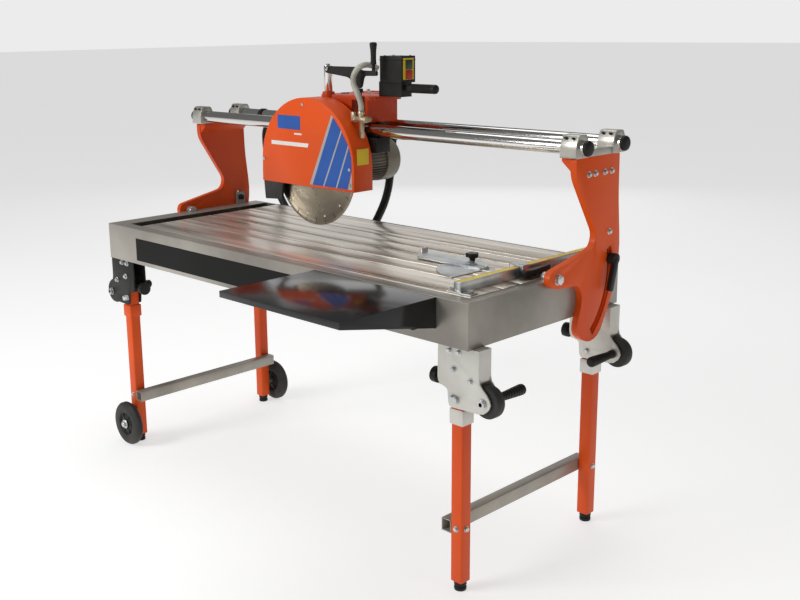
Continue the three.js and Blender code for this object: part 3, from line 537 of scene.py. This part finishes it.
soft_light("key_light", (-1.6, -4.2, 3.0), (0, 0, 0.8), 2.2, 130)
soft_light("top_light", (-0.4, 0.6, 4.2), (0, 0, 0.6), 3.0, 52)
soft_light("right_light", (4.2, 0.2, 1.6), (0, 0, 0.8), 2.0, 9, (1.0, 0.88, 0.74))
back_light = soft_light("back_light", (-3.6, 4.6, 2.2), (0, 0, 0.75), 3.4, 22)
back_light.visible_camera = False
sky = bpy.data.worlds.new("studio")
scene.world = sky
sky.use_nodes = True
sky_nodes, sky_links = sky.node_tree.nodes, sky.node_tree.links
glow = sky_nodes["Background"]
glow.inputs["Color"].default_value = (1, 1, 1, 1)
glow.inputs["Strength"].default_value = 0.17
seen = sky_nodes.new("ShaderNodeBackground")
seen.inputs["Color"].default_value = (1, 1, 1, 1)
seen.inputs["Strength"].default_value = 0.84
path = sky_nodes.new("ShaderNodeLightPath")
choice = sky_nodes.new("ShaderNodeMixShader")
sky_links.new(path.outputs["Is Camera Ray"], choice.inputs["Fac"])
sky_links.new(glow.outputs["Background"], choice.inputs[1])
sky_links.new(seen.outputs["Background"], choice.inputs[2])
sky_links.new(choice.outputs["Shader"], sky_nodes["World Output"].inputs["Surface"])
scene.view_settings.view_transform = "Standard"
print("floor and lights ready")

# %% [markdown]
# ## The water tray
# The tray is folded from sheet steel and painted a warm metallic grey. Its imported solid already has
# the right form, so a copy is welded and its edges are rounded the way a folded edge is. The gloss
# band along the front is a sticker, so it is a thin rounded block just proud of the wall.

# %% Tray, band and latches
tray = dressed("tray", tray_paint, 0.0022, 3)
tray_low = box_of("tray")[0]
side_low, side_high = box_of("side_table")
piece("tray_band", [
    block((-0.612, tray_low.y - 0.0006, 0.650), (side_low.x - 0.004, tray_low.y + 0.001, 0.722), 0.0005, 1),
], band_black, "frame")
feet = []
for x in (0.560, 0.615):
    feet.append(laid(turned([
        (0, 0), (0.006, 0), (0.0075, 0.002), (0.0075, 0.014), (0.006, 0.016), (0, 0.016),
    ], 24), "y", (x, side_high.y - 0.024, side_low.z - 0.004)))
piece("side_table_latches", feet, black_mould, "frame")
print("tray", len(tray.data.polygons), "faces")

# %% [markdown]
# ## The two table panels
# Ribbed aluminium extrusions, milled on top. Their polish runs along the table, so the finish is stretched
# along X. Its large clouds make long bright and dull streaks: partly the water smears of a used table, partly
# painted reflection and painted highlight.

# %% Table panels
for node in ("table_front", "table_rear"):
    dressed(node, table_metal_smears_and_sheen, 0.0009, 2)
for node in ("pivot_left", "pivot_right"):
    dressed(node, zinc, 0.0012, 2)
print("table panels", [round(value, 3) for value in box_of("table_front")[1]])

# %% [markdown]
# ## The uprights
# Two flame-cut and cast plates carry the rails and swing on the tilt pivots. They are thick and
# soft-edged, so the long outline edges get a wide round of their own and the rest a narrow one.
# Bolts sit in rows on the outer face.

# %% Uprights with their bolts
tilt = axis_of["bridge_tilt"]


def on_outline(edge):
    """True for the long edges that run round a face of an upright."""
    return abs((edge.verts[0].co - edge.verts[1].co).x) < 0.002 and edge.calc_length() > 0.006


for side, sign, outward in (("left", -1, "-x"), ("right", 1, "x")):
    node = f"upright_{side}"
    dressed(node, orange_paint, 0.0007, 2, on_outline, 0.0032)
    low, high = box_of(node)
    face = (high.x if sign > 0 else low.x) - 0.001 * sign
    bolts = []
    for y, z in ((0.266, 1.004), (0.294, 1.004), (0.336, 1.004), (0.367, 1.004), (0.367, 0.846)):
        bolts.append(laid(hexagon(0.010, 0.006, 0.0085), outward, (face, y, z)))
    bolts.append(laid(hexagon(0.017, 0.005, 0.014), outward, (face, tilt.y, tilt.z)))
    piece(f"{node}_bolts", bolts, zinc, "bridge")
    dressed(f"tilt_clamp_{side}", black_mould, 0.0012, 2)
print("uprights dressed")

# %% [markdown]
# ## Ends of the conduit
# A strap holds the conduit to the rear rail on the left, and a gland on a small bracket takes it into
# the back of the carriage. Both are short lathe rings with a folded plate.

# %% Conduit strap and gland
rail_middle = (box_of("rail_rear")[0] + box_of("rail_rear")[1]) / 2
left_end = conduit_line[-1]
strap_x = left_end.x - 0.016
ring = laid(turned([(0.0140, 0), (0.0172, 0), (0.0172, 0.016), (0.0140, 0.016), (0.0140, 0)], 36), "x",
            (strap_x, left_end.y + 0.003, left_end.z - 0.002))
collar = laid(turned([(0.0192, 0), (0.0220, 0), (0.0220, 0.016), (0.0192, 0.016), (0.0192, 0)], 48), "x",
              (strap_x, rail_middle.y, rail_middle.z))
web = block((strap_x, rail_middle.y + 0.012, left_end.z + 0.008),
            (strap_x + 0.016, rail_middle.y + 0.034, rail_middle.z - 0.010), 0.0012, 1)
piece("conduit_strap", [ring, collar, web], black_mould, "bridge")
start = conduit_line[0]
carriage_back = box_of("carriage_frame")[1].y
gland = laid(turned([
    (0, 0), (0.0150, 0), (0.0165, 0.002), (0.0165, 0.014), (0.0140, 0.017), (0.0140, 0.026),
    (0.0110, 0.029), (0.0110, 0.052), (0, 0.052),
], 36), "z", (start.x, start.y - 0.001, start.z + 0.0005))
tab = block((start.x - 0.017, carriage_back - 0.004, start.z + 0.050),
            (start.x + 0.017, start.y + 0.0135, start.z + 0.054), 0.0008, 1)
piece("conduit_gland", [gland], black_mould, "carriage")
piece("conduit_bracket", [tab], zinc, "carriage")
print("strap at", round(strap_x, 3))

# %% [markdown]
# ## Rails, saddles and caps
# The rails are hard-chromed tubes in cast saddles. A lathe profile with many steps keeps their long
# highlights straight; black plugs close the ends. Cap screws hold each saddle's cover down.

# %% Rails with end plugs
for node in ("rail_front", "rail_rear"):
    low, high = box_of(node)
    middle = (low + high) / 2
    radius = (high.z - low.z) / 2
    span = high.x - low.x
    bar = laid(turned([
        (0, 0.004), (radius - 0.006, 0.004), (radius - 0.006, 0), (radius - 0.001, 0), (radius, 0.001),
        (radius, span - 0.001), (radius - 0.001, span), (radius - 0.006, span),
        (radius - 0.006, span - 0.004), (0, span - 0.004),
    ], 72), "x", (low.x, middle.y, middle.z))
    piece(f"{node}_chromed", [bar], chrome, "bridge", 40, node)
    plugs = []
    for outward, end in (("-x", low.x), ("x", high.x)):
        plugs.append(laid(turned([
            (0, -0.004), (radius - 0.0065, -0.004), (radius - 0.0065, 0), (radius + 0.0002, 0),
            (radius + 0.0006, 0.0008), (radius + 0.0004, 0.0060), (radius - 0.0010, 0.0088),
            (radius - 0.0045, 0.0112), (radius - 0.0100, 0.0120), (0, 0.0122),
        ], 48), outward, (end, middle.y, middle.z)))
    piece(f"{node}_plugs", plugs, black_mould, "bridge")
print("rail radius", round(radius, 4))

# %% Saddles with cap screws
for side in ("left", "right"):
    node = f"saddle_{side}"
    dressed(node, cast_metal, 0.0016, 3)
    low, high = box_of(node)
    screws = []
    for rail in ("rail_front", "rail_rear"):
        middle = (box_of(rail)[0] + box_of(rail)[1]) / 2
        for dx in (-0.011, 0.011):
            for dy in (-0.0235, 0.0235):
                screws.append(laid(rod(0.0042, 0.0052, 0.0008, 20), "z",
                                   ((low.x + high.x) / 2 + dx, middle.y + dy, high.z - 0.0105)))
    piece(f"{node}_screws", screws, black_cast, "bridge")
print("saddles dressed")

# %% [markdown]
# ## The carriage
# A welded box of painted plates rides on the rails. Its copy is welded and rounded; the black lower
# carriage hooks under the front rail, and bolts hold the plates to the deck.

# %% Carriage
# The carriage paint is the orange made darker: painted shade.
dressed("carriage_frame", shaded_carriage_paint, 0.0012, 2)
dressed("lower_carriage", black_cast, 0.0015, 2)
carriage_bolts = []
for x in (-0.125, -0.055):
    for y in (0.335, 0.395):
        carriage_bolts.append(laid(hexagon(0.010, 0.006, 0.008), "z", (x, y, 1.171)))
piece("carriage_bolts", carriage_bolts, zinc, "carriage")
dressed("fulcrum_column", chrome, 0.0006, 2)
print("carriage dressed")

# %% [markdown]
# ## The switch box
# A moulded box with a lid. The start and stop buttons sit on its right end in a yellow plate, and a
# cable gland sits on its back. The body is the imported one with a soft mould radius.

# %% Switch box, plate and buttons
dressed("switch_box", black_mould, 0.0035, 4)
low, high = box_of("switch_box")
button_low, button_high = box_of("start_button")
wall = high.x
centre_y = (button_low.y + button_high.y) / 2
face_plate = plate([(-0.030, -0.022), (0.030, -0.022), (0.030, 0.022), (-0.030, 0.022)], 0.0016, 0.0006, 1)
plate_at = (box_of("stop_button")[0].z + button_high.z) / 2
face_plate = laid(face_plate, "x", (wall - 0.0008, centre_y, plate_at + 0.002))
piece("switch_plate", [face_plate], scale_yellow, "carriage")
lid = block((low.x + 0.012, low.y - 0.0018, high.z - 0.0125),
            (high.x + 0.001, high.y + 0.0018, high.z - 0.0105), 0.0006, 1)
lid_screws = [laid(rod(0.0032, 0.003, 0.0006, 16), "z", (x, y, high.z - 0.0016))
              for x in (low.x + 0.024, high.x - 0.010) for y in (low.y + 0.010, high.y - 0.010)]
gland = [laid(turned([
    (0, 0), (0.0100, 0), (0.0105, 0.002), (0.0105, 0.007), (0.0085, 0.009), (0.0085, 0.013),
    (0.0060, 0.016), (0, 0.016),
], 24), "y", (low.x + 0.045, high.y - 0.002, high.z - 0.040))]
piece("switch_lid_line", [lid] + lid_screws + gland, black_cast, "carriage")
for node, finish in (("start_button", go_green), ("stop_button", stop_red)):
    low, high = box_of(node)
    radius = (high.z - low.z) / 2
    middle_z = (low.z + high.z) / 2
    cap = joined(
        block((high.x - 0.0045, centre_y - 0.0125, middle_z - 0.0128),
              (high.x, centre_y + 0.0125, middle_z + 0.0128), 0.0012, 2),
        laid(rod(radius - 0.001, high.x - low.x - 0.002, 0.0004, 24), "x", (low.x, centre_y, middle_z)),
    )
    piece(f"{node}_cap", [cap], finish, body_of[node], 38, node)
print("switch plate at", round(plate_at, 3))

# %% [markdown]
# ## Moulded grips
# Rubbery grips are turned: a closed profile with shallow grooves is spun round the handle's axis.
# The same recipe makes the push handle and the lever's grip.


# %% Grip profile helper
def ribbed_grip(radius, length, ribs, start, end, groove=0.0009, taper=0.0):
    """A lathe profile of a grip: grooves between two places, with a domed end."""
    profile = [(0, 0), (radius * 0.82, 0), (radius * 0.94, 0.0015), (radius, 0.004), (radius, start)]
    pitch = (end - start) / ribs
    for number in range(ribs):
        base = start + number * pitch
        here = radius - taper * (number + 0.5) / ribs
        profile += [(here, base + 0.1 * pitch), (here, base + 0.58 * pitch),
                    (here - groove, base + 0.68 * pitch), (here - groove, base + 0.92 * pitch)]
    last = radius - taper
    profile += [(last, end), (last, length - 0.006), (last * 0.92, length - 0.0022),
                (last * 0.7, length - 0.0004), (0, length)]
    return turned(profile, 40)


# %% Push handle and lever grip
low, high = box_of("push_handle")
middle = (low + high) / 2
radius = (high.z - low.z) / 2
handle_start = box_of("switch_box")[1].x + 0.002
shank = laid(rod(0.007, 0.022, 0.0005, 24), "x", (low.x, middle.y, middle.z))
grip = laid(ribbed_grip(radius, high.x - handle_start, 12, 0.016, high.x - handle_start - 0.014), "x",
            (handle_start, middle.y, middle.z))
piece("push_handle_grip", [shank, grip], black_mould, "carriage", 50, "push_handle")
low, high = box_of("lever_grip")
middle = (low + high) / 2
tall = high.z - low.z
lever_knob = laid(turned([
    (0.0055, 0.0), (0.0080, 0.0), (0.0088, 0.0012), (0.0082, 0.006), (0.0078, tall * 0.35),
    (0.0086, tall * 0.62), (0.0104, tall * 0.84), (0.0108, tall * 0.90), (0.0098, tall * 0.96),
    (0.0060, tall - 0.0006), (0, tall), (0, 0.012), (0.0055, 0.012),
], 36), "z", (middle.x, middle.y, low.z))
piece("lever_grip_turned", [lever_knob], black_mould, "lever_handle", 50, "lever_grip")
dressed("plunge_lever", black_cast, 0.0014, 3)
print("grips turned")

# %% [markdown]
# ## The blade guard
# A pressed hood in a slightly brighter orange than the bridge. The front edge has a generous radius,
# so only the edges that lie in the front plane get the wide bevel. Plain coloured bands decorate the
# front; each is a thin plate laid on the face.

# %% Guard, bands and screws
guard_low, guard_high = box_of("guard")
dressed("guard", guard_paint, 0.0006, 2, lambda edge: all(
    vertex.co.y < guard_low.y + 0.0005 and vertex.co.z > guard_low.z + 0.002 for vertex in edge.verts), 0.007)
dressed("guard_flap", tyre_rubber, 0.0006, 1)


def on_guard(corners, thick=0.0006):
    """A plate on the guard's front face from (x, z) corners in metres."""
    shape = plate([(x, z) for x, z in corners], thick, 0.0002, 1)
    bmesh.ops.transform(shape, verts=shape.verts, matrix=Matrix(
        ((1, 0, 0, 0), (0, 0, -1, guard_low.y), (0, 1, 0, 0), (0, 0, 0, 1))))
    bmesh.ops.recalc_face_normals(shape, faces=shape.faces)
    return shape


band_foot = 0.912
lines_between_bands = [
    (0.013, (-0.095, band_foot), (0.006, 1.122)),
    (0.006, (-0.036, band_foot), (0.046, 1.082)),
    (0.006, (0.019, band_foot), (0.074, 1.040)),
]
right_ends = [
    [(foot[0] + 0.0005, foot[1]), (head[0] + 0.0005, head[1] - 0.002)]
    for wide, foot, head in lines_between_bands[1:]
] + [[(0.068, band_foot), (0.087, 0.968), (0.087, 1.004)]]
blue, grey = [], []
for (wide, foot, head), right_end in zip(lines_between_bands, right_ends):
    top = head[0] + 0.6 * wide
    grey.append(on_guard([foot, (foot[0] + wide, foot[1]), (top, head[1] - 0.005), head], 0.0007))
    blue.append(on_guard([(foot[0] + wide - 0.0005, foot[1]), *right_end, (top, head[1] - 0.007)]))
grey.append(on_guard([(0.071, band_foot), (0.088, band_foot), (0.088, 0.962)]))
blue.append(on_guard([(-0.236, 1.071), (-0.132, 1.071), (-0.132, 1.112), (-0.236, 1.112)]))
piece("guard_blue_bands", blue, stripe_blue, "head")
piece("guard_grey_lines", grey, stripe_grey, "head")
piece("guard_pale_bar", [
    on_guard([(-0.268, 1.021), (-0.100, 1.021), (-0.096, 1.033), (-0.268, 1.033)]),
    on_guard([(-0.160, 1.056), (-0.126, 1.056), (-0.126, 1.061), (-0.160, 1.061)]),
], label_white, "head")
guard_screws = []
for x, z in ((-0.119, 1.147), (-0.306, 0.973), (0.078, 0.970), (0.080, 0.925)):
    guard_screws.append(laid(rod(0.0050, 0.0032, 0.0014, 24), "-y", (x, guard_low.y + 0.0004, z)))
piece("guard_screws", guard_screws, zinc, "head")
side_patch = block((guard_high.x - 0.0004, guard_low.y + 0.013, 0.982),
                   (guard_high.x + 0.0006, guard_low.y + 0.060, 1.028), 0.0003, 1)
piece("guard_side_patch", [side_patch], scale_yellow, "head")
print("guard bands", len(blue) + len(grey))

# %% [markdown]
# ## The blade
# A thin steel disc with a slightly thicker diamond rim cut into segments, a row of pale rivets, two
# flanges and a hexagon nut. The disc is a lathe profile; each gap in the rim is a thin dark sliver.

# %% Blade on its shaft
low, high = box_of("blade")
radius = (high.z - low.z) / 2
plane = low.y + 0.020
place = (blade_centre.x, plane, blade_centre.z)
disc = laid(turned([
    (0, -0.0014), (radius - 0.010, -0.0014), (radius - 0.0095, -0.0017), (radius - 0.0006, -0.0017),
    (radius, -0.0012), (radius, 0.0012), (radius - 0.0006, 0.0017), (radius - 0.0095, 0.0017),
    (radius - 0.010, 0.0014), (0, 0.0014),
], 120), "y", place)
flanges = laid(turned([
    (0, -0.0086), (0.030, -0.0086), (0.036, -0.0074), (0.0445, -0.0060), (0.045, -0.0050), (0.045, -0.0014),
    (0.045, 0.0050), (0.0445, 0.0060), (0.036, 0.0080), (0, 0.0086),
], 64), "y", place)
nut = laid(hexagon(0.027, 0.010, 0.016), "-y", (blade_centre.x, plane - 0.0086, blade_centre.z))
stub = laid(rod(0.007, 0.019, 0.001, 24), "-y", place)
shaft = laid(rod(0.012, high.y - plane, 0.0008, 32), "y", place)
piece("blade_disc", [disc, flanges, nut, stub, shaft], blade_steel, "spindle", 34, "blade")
slivers, rivets = [], []
segments, rivet_count = 24, 12
for number in range(segments):
    sliver = block((-0.0008, radius - 0.0225, -0.0019), (0.0008, radius - 0.0002, 0.0019), 0.0002, 1)
    slivers.append(laid(spun(sliver, number / segments), "y", place))
for number in range(rivet_count):
    rivet = rod(0.0032, 0.0031, 0.0001, 20)
    bmesh.ops.translate(rivet, vec=(0.150, 0, -0.00155), verts=rivet.verts)
    rivets.append(laid(spun(rivet, (number + 0.5) / rivet_count), "y", place))
piece("blade_gaps", slivers, black_cast, "spindle")
piece("blade_rivets", rivets, label_white, "spindle")
print("blade radius", round(radius, 4))

# %% [markdown]
# ## The motor
# A totally enclosed motor: a finned barrel between a front flange and a fan cowl. One fin is a slim
# block, and its copies are turned round the shaft's axis. The cowl is a lathe shape with a ring grille.

# %% Motor
low, high = box_of("motor")
front = low.y + 0.012
reach = high.y - front
barrel = 0.186
here = (blade_centre.x, front, blade_centre.z)
barrel_shape = turned([
    (0.014, -0.0118), (0.0138, 0.0), (0.066, 0.0), (0.0695, 0.0012), (0.0698, 0.0035), (0.0698, 0.0100),
    (0.0690, 0.0118), (0.0600, 0.0130), (0.0590, 0.030), (0.0590, barrel), (0, barrel), (0, 0.010),
    (0.013, 0.008), (0.013, -0.0118),
], 64)
motor_shapes = [laid(barrel_shape, "y", here)]
fin_count = 44
for number in range(fin_count):
    fin = block((0.0565, -0.00095, 0.0135), (0.0662, 0.00095, barrel + 0.0025), 0.0005, 1)
    motor_shapes.append(laid(spun(fin, number / fin_count), "y", here))
ring_top, ring_floor = reach - 0.0004, reach - 0.004
grille = []
for rim, outside, inside in ((0.0560, 0.0545, 0.0500), (0.0450, 0.0440, 0.0395), (0.0345, 0.0335, 0.0290)):
    grille += [(rim, ring_top), (outside, ring_floor), (inside, ring_floor), (inside - 0.0010, ring_top)]
cowl_shape = turned([
    (0.0660, barrel), (0.0672, barrel + 0.0015), (0.0678, barrel + 0.005), (0.0675, reach - 0.014),
    (0.0655, reach - 0.006), (0.0600, reach - 0.0010), *grille, (0, ring_top), (0, barrel),
], 64)
motor_shapes.append(laid(cowl_shape, "y", here))
piece("motor_finned", motor_shapes, cowl_paint, "head", 34, "motor")
motor_bolts = []
for number in range(4):
    turn = math.radians(45 + 90 * number)
    x, z = here[0] + 0.0600 * math.cos(turn), here[2] + 0.0600 * math.sin(turn)
    motor_bolts.append(laid(hexagon(0.008, 0.005, 0.0055), "y", (x, here[1] + 0.0105, z)))
    x, z = here[0] + 0.0535 * math.cos(turn), here[2] + 0.0535 * math.sin(turn)
    motor_bolts.append(laid(rod(0.0032, 0.0034, 0.0008, 16), "y", (x, high.y - 0.0042, z)))
piece("motor_bolts", motor_bolts, zinc, "head")
dressed("motor_mount", black_cast, 0.0016, 2)
print("motor length", round(reach, 3))

# %% [markdown]
# ## The water tap
# A nickel-plated tee on the guard with a small lever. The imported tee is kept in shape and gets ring
# nuts where the hose and the feed screw on.

# %% Water tap
dressed("water_valve", brass_fitting, 0.0008, 2)
low, high = box_of("water_valve")
tap_y, tap_z = low.y + 0.008, 1.110
nuts = [laid(hexagon(0.0175, 0.008), "x", (low.x + 0.0085, tap_y, tap_z)),
        laid(hexagon(0.0175, 0.008), "x", (high.x - 0.0100, tap_y, tap_z)),
        laid(turned([
            (0, 0), (0.0098, 0), (0.0102, 0.001), (0.0102, 0.008), (0.0095, 0.009), (0, 0.009),
        ], 28), "z", (0.080, tap_y, high.z - 0.010))]
piece("water_tap_nuts", nuts, brass_fitting, "head")
print("tap dressed")

# %% [markdown]
# ## Leg brackets, pull knobs, handles and rollers
# Every corner has a plated bracket with a folding leg, a round pull knob that locks it, a roller to
# carry the machine in and out of a van, and a conical carrying handle. One cell makes all four sets.

# %% Corner sets
corners_of_table = (
    ("right_front", 1, -1, "-y", "y"),
    ("right_rear", 1, 1, "y", "-y"),
    ("left_front", -1, -1, "-y", "y"),
    ("left_rear", -1, 1, "y", "-y"),
)
for corner, sign_x, sign_y, outward, inward in corners_of_table:
    node = f"bracket_{corner}"
    dressed(node, pale_plate if sign_x > 0 else black_cast, 0.0008, 2)
    low, high = box_of(node)
    outer = low.y if sign_y < 0 else high.y
    heads = []
    for x, z in ((0.712, 0.579), (0.709, 0.508), (0.699, 0.624), (0.728, 0.624), (0.765, 0.560)):
        heads.append(laid(hexagon(0.011, 0.006, 0.009), outward, (x * sign_x, outer - sign_y * 0.0005, z)))
    piece(f"bolts_{corner}", heads, zinc, "frame")
    low, high = box_of(f"roller_{corner}")
    middle = (low + high) / 2
    radius = (high.z - low.z) / 2
    wide = high.y - low.y
    tyre = laid(turned([
        (0.0155, 0.0012), (0.0170, 0), (radius - 0.006, 0), (radius - 0.0022, 0.0012), (radius, 0.005),
        (radius, wide - 0.005), (radius - 0.0022, wide - 0.0012), (radius - 0.006, wide), (0.0170, wide),
        (0.0155, wide - 0.0012), (0.0062, wide - 0.0035), (0.0062, 0.0035), (0.0155, 0.0012),
    ], 56), "y", (middle.x, low.y, middle.z))
    node = f"roller_{corner}"
    piece(f"{node}_tyre", [tyre], tyre_rubber, body_of[node], 34, node)
    node = f"handle_{corner}"
    low, high = box_of(node)
    inner, outer = (high.y, low.y) if sign_y < 0 else (low.y, high.y)
    middle_z = (low.z + high.z) / 2
    middle_x = (low.x + high.x) / 2
    grip_length = 0.106
    start = inner + sign_y * grip_length
    profile = [(0, 0), (0.0100, 0), (0.0112, 0.0012), (0.0112, 0.010)]
    for number in range(9):
        base = 0.012 + number * 0.0095
        here = 0.0098 + 0.0038 * number / 8
        profile += [(here, base), (here + 0.0002, base + 0.0055), (here - 0.0009, base + 0.0068),
                    (here - 0.0009, base + 0.0088)]
    profile += [(0.0138, 0.0985), (0.0130, 0.1025), (0.0105, 0.1050), (0.0060, 0.1059), (0, grip_length)]
    cone = laid(turned(profile, 40), inward, (middle_x, start, middle_z))
    axle = laid(rod(0.0060, abs(start - outer) + 0.004, 0.0008, 28), inward, (middle_x, outer, middle_z))
    cap_nut = laid(hexagon(0.0185, 0.0075, 0.012), outward, (middle_x, outer - sign_y * 0.0087, middle_z))
    piece(f"{node}_grip", [cone], black_mould, "frame", 50, node)
    piece(f"axle_{corner}", [axle, cap_nut], zinc, "frame")
    dressed(f"lock_knob_{corner}", black_mould, 0.0016, 3)
    print(corner, "roller", round(radius, 3))

# %% [markdown]
# ## Legs and cross bars
# Square painted tubes with a clamp collar under the bracket and a black levelling foot. Each leg
# is built again from rounded tubes, so that collar and foot can have their own finishes. The cross
# bars are plated.

# %% Legs
foot_inset = 0.0291
foot_places = {-1: box_of("leg_right_front")[0].y + foot_inset, 1: box_of("leg_right_rear")[1].y - foot_inset}
half, collar_half = 0.0175, 0.021
pin_height, bar_height = 0.505, 0.168
for corner, sign_x, sign_y, outward, inward in corners_of_table:
    node = f"leg_{corner}"
    low, high = box_of(node)
    body = body_of[node]
    centre_x = (low.x + high.x) / 2
    centre_y = foot_places[sign_y]
    tube = block((centre_x - half, centre_y - half, 0.024),
                 (centre_x + half, centre_y + half, high.z), 0.0030, 3)
    piece(f"{node}_tube", [tube], orange_paint, body, 40, node)
    collar = block((centre_x - collar_half, centre_y - collar_half, 0.440),
                   (centre_x + collar_half, centre_y + collar_half, 0.479), 0.0016, 2)
    collar_finish = pale_plate if sign_x > 0 else orange_paint
    piece(f"{node}_collar", [collar], collar_finish, body)
    foot = laid(turned([
        (0, 0), (0.0125, 0), (0.0150, 0.001), (0.0158, 0.003), (0.0158, 0.009), (0.0135, 0.011),
        (0.0135, 0.014), (0.0160, 0.0150), (0.0160, 0.0250), (0, 0.0250),
    ], 36), "z", (centre_x, centre_y, 0))
    piece(f"{node}_foot", [foot], black_mould, body)
    pin = laid(rod(0.0060, 0.058, 0.0008, 24), "y", (centre_x, centre_y - 0.029, pin_height))
    pin_head = laid(hexagon(0.0155, 0.006, 0.010), outward,
                    (centre_x, centre_y + sign_y * 0.0235, pin_height))
    bar_bolt = laid(hexagon(0.0105, 0.005, 0.008), outward,
                    (centre_x, centre_y + sign_y * 0.0170, bar_height))
    side_bolt = laid(hexagon(0.0105, 0.005, 0.008), "x" if sign_x > 0 else "-x",
                     (centre_x + sign_x * 0.0170, centre_y, bar_height))
    hardware = [pin, pin_head, bar_bolt, side_bolt]
    if sign_x < 0:
        wheel_low, wheel_high = box_of("wheel_front" if sign_y < 0 else "wheel_rear")
        hub = (wheel_low + wheel_high) / 2
        outer = wheel_low.y if sign_y < 0 else wheel_high.y
        stub_axle = rod(0.0080, abs(outer - centre_y) + 0.010, 0.0008, 28)
        hardware.append(laid(stub_axle, outward, (hub.x, centre_y, hub.z)))
        washer = rod(0.0150, 0.0022, 0.0006, 32)
        hardware.append(laid(washer, outward, (hub.x, outer - sign_y * 0.0004, hub.z)))
        wheel_nut = hexagon(0.018, 0.007, 0.012)
        hardware.append(laid(wheel_nut, outward, (hub.x, outer + sign_y * 0.0005, hub.z)))
    piece(f"{node}_hardware", hardware, zinc, body)
for node in ("crossbar_left", "crossbar_right"):
    dressed(node, grey_bar, 0.0016, 2)
print("legs made")

# %% [markdown]
# ## Transport wheels
# Solid rubber tyres on black moulded hubs. The tyre is one closed lathe profile with a rounded tread;
# the hub is a second one with a recess and short ribs.

# %% Wheels
for node in ("wheel_front", "wheel_rear"):
    low, high = box_of(node)
    middle = (low + high) / 2
    radius = (high.z - low.z) / 2
    wide = high.y - low.y
    tyre = laid(turned([
        (0.040, 0.003), (0.043, 0.001), (0.050, 0.0004), (0.062, 0.0010), (0.069, 0.0045), (radius, 0.010),
        (radius, wide - 0.010), (0.069, wide - 0.0045), (0.062, wide - 0.0010), (0.050, wide - 0.0004),
        (0.043, wide - 0.001), (0.040, wide - 0.003), (0.040, 0.003),
    ], 72), "y", (middle.x, low.y, middle.z))
    hub = turned([
        (0.0084, 0.0005), (0.0160, 0.0005), (0.0170, 0.0040), (0.0340, 0.0075), (0.0370, 0.0040),
        (0.0400, 0.0032), (0.0402, 0.0050), (0.0402, wide - 0.0050), (0.0400, wide - 0.0032),
        (0.0370, wide - 0.0040), (0.0340, wide - 0.0075), (0.0170, wide - 0.0040), (0.0160, wide - 0.0005),
        (0.0084, wide - 0.0005), (0.0084, 0.0005),
    ], 56)
    hub_shapes = [laid(hub, "y", (middle.x, low.y, middle.z))]
    for number in range(6):
        rib = block((0.015, -0.0018, 0.0035), (0.0370, 0.0018, wide - 0.0035), 0.0006, 1)
        hub_shapes.append(laid(spun(rib, number / 6), "y", (middle.x, low.y, middle.z)))
    piece(f"{node}_tyre", [tyre], tyre_rubber, body_of[node], 34, node)
    piece(f"{node}_hub", hub_shapes, black_mould, body_of[node])
print("wheels made")

# %% [markdown]
# ## Side table, rule and angle fence
# The black side table is powder coated to a deep gloss. The rule is an aluminium bar with a yellow
# scale; its ticks are thin dark slivers, with no figures. The angle fence is plated steel with a cam
# lever and a star knob.

# %% Side table and rule
dressed("side_table", black_gloss, 0.0015, 3)
dressed("fence_rule", zinc, 0.0012, 2)
low, high = box_of("fence_rule")
strip = block((low.x + 0.002, low.y + 0.002, high.z - 0.0004),
              (high.x - 0.002, high.y - 0.002, high.z + 0.0002), 0.0002, 1)
side_strip = block((low.x - 0.0002, low.y + 0.002, low.z + 0.015),
                   (low.x + 0.0006, high.y - 0.002, high.z - 0.001), 0.0002, 1)
piece("rule_scale", [strip, side_strip], scale_yellow, "frame")
ticks = []
tick_gap = 0.005
count = int((high.y - low.y - 0.02) / tick_gap)
for number in range(count):
    y = low.y + 0.010 + number * tick_gap
    deep = 0.010 if number % 10 == 0 else (0.007 if number % 5 == 0 else 0.004)
    ticks.append(block((low.x + 0.002, y - 0.00035, high.z + 0.0001),
                       (low.x + 0.002 + deep, y + 0.00035, high.z + 0.00028), 0.00002, 1))
piece("rule_ticks", ticks, black_mould, "frame")
end_plate = block((low.x - 0.020, low.y - 0.004, low.z - 0.0002),
                  (high.x + 0.034, low.y + 0.022, low.z + 0.0028), 0.0006, 1)
end_bolts = [laid(hexagon(0.013, 0.008, 0.011), "z", (x, low.y + 0.009, low.z + 0.0020))
             for x in (low.x - 0.010, high.x + 0.022)]
piece("rule_end_clamp", [end_plate] + end_bolts, zinc, "frame")
print("rule", round(high.y - low.y, 3), "ticks", count)

# %% Angle fence
dressed("fence_slider", zinc, 0.0008, 2)
rule_side = high.x
pivot = axis_of["fence_angle"]
cam_at = low.z + 0.0052
cam = laid(plate([
    (rule_side + 0.0088, pivot.y - 0.0236), (rule_side + 0.0200, pivot.y - 0.0286),
    (rule_side + 0.0315, pivot.y - 0.0276), (rule_side + 0.0340, pivot.y + 0.0100),
    (rule_side + 0.0235, pivot.y + 0.0895), (rule_side + 0.0110, pivot.y + 0.0895),
    (rule_side + 0.0088, pivot.y + 0.0140),
], 0.0172, 0.0030, 3), "z", (0, 0, cam_at))
piece("fence_cam_lever", [cam], black_mould, "fence")
cam_button = laid(rod(0.0065, 0.003, 0.0008, 28), "z", (rule_side + 0.022, pivot.y - 0.008, cam_at + 0.0158))
piece("fence_cam_button", [cam_button], stop_red, "fence")
dressed("fence_arm", zinc, 0.0007, 2)
dressed("fence_knob", black_mould, 0.0018, 3)
fence_heads = [laid(rod(0.0065, 0.004, 0.0012, 28), "z", (pivot.x, pivot.y, 0.7595)),
               laid(hexagon(0.012, 0.005, 0.010), "z", (pivot.x - 0.060, pivot.y + 0.010, 0.7594))]
piece("fence_bolts", fence_heads, zinc, "fence_swing")
dressed("pump", black_mould, 0.0014, 2)
print("fence dressed")
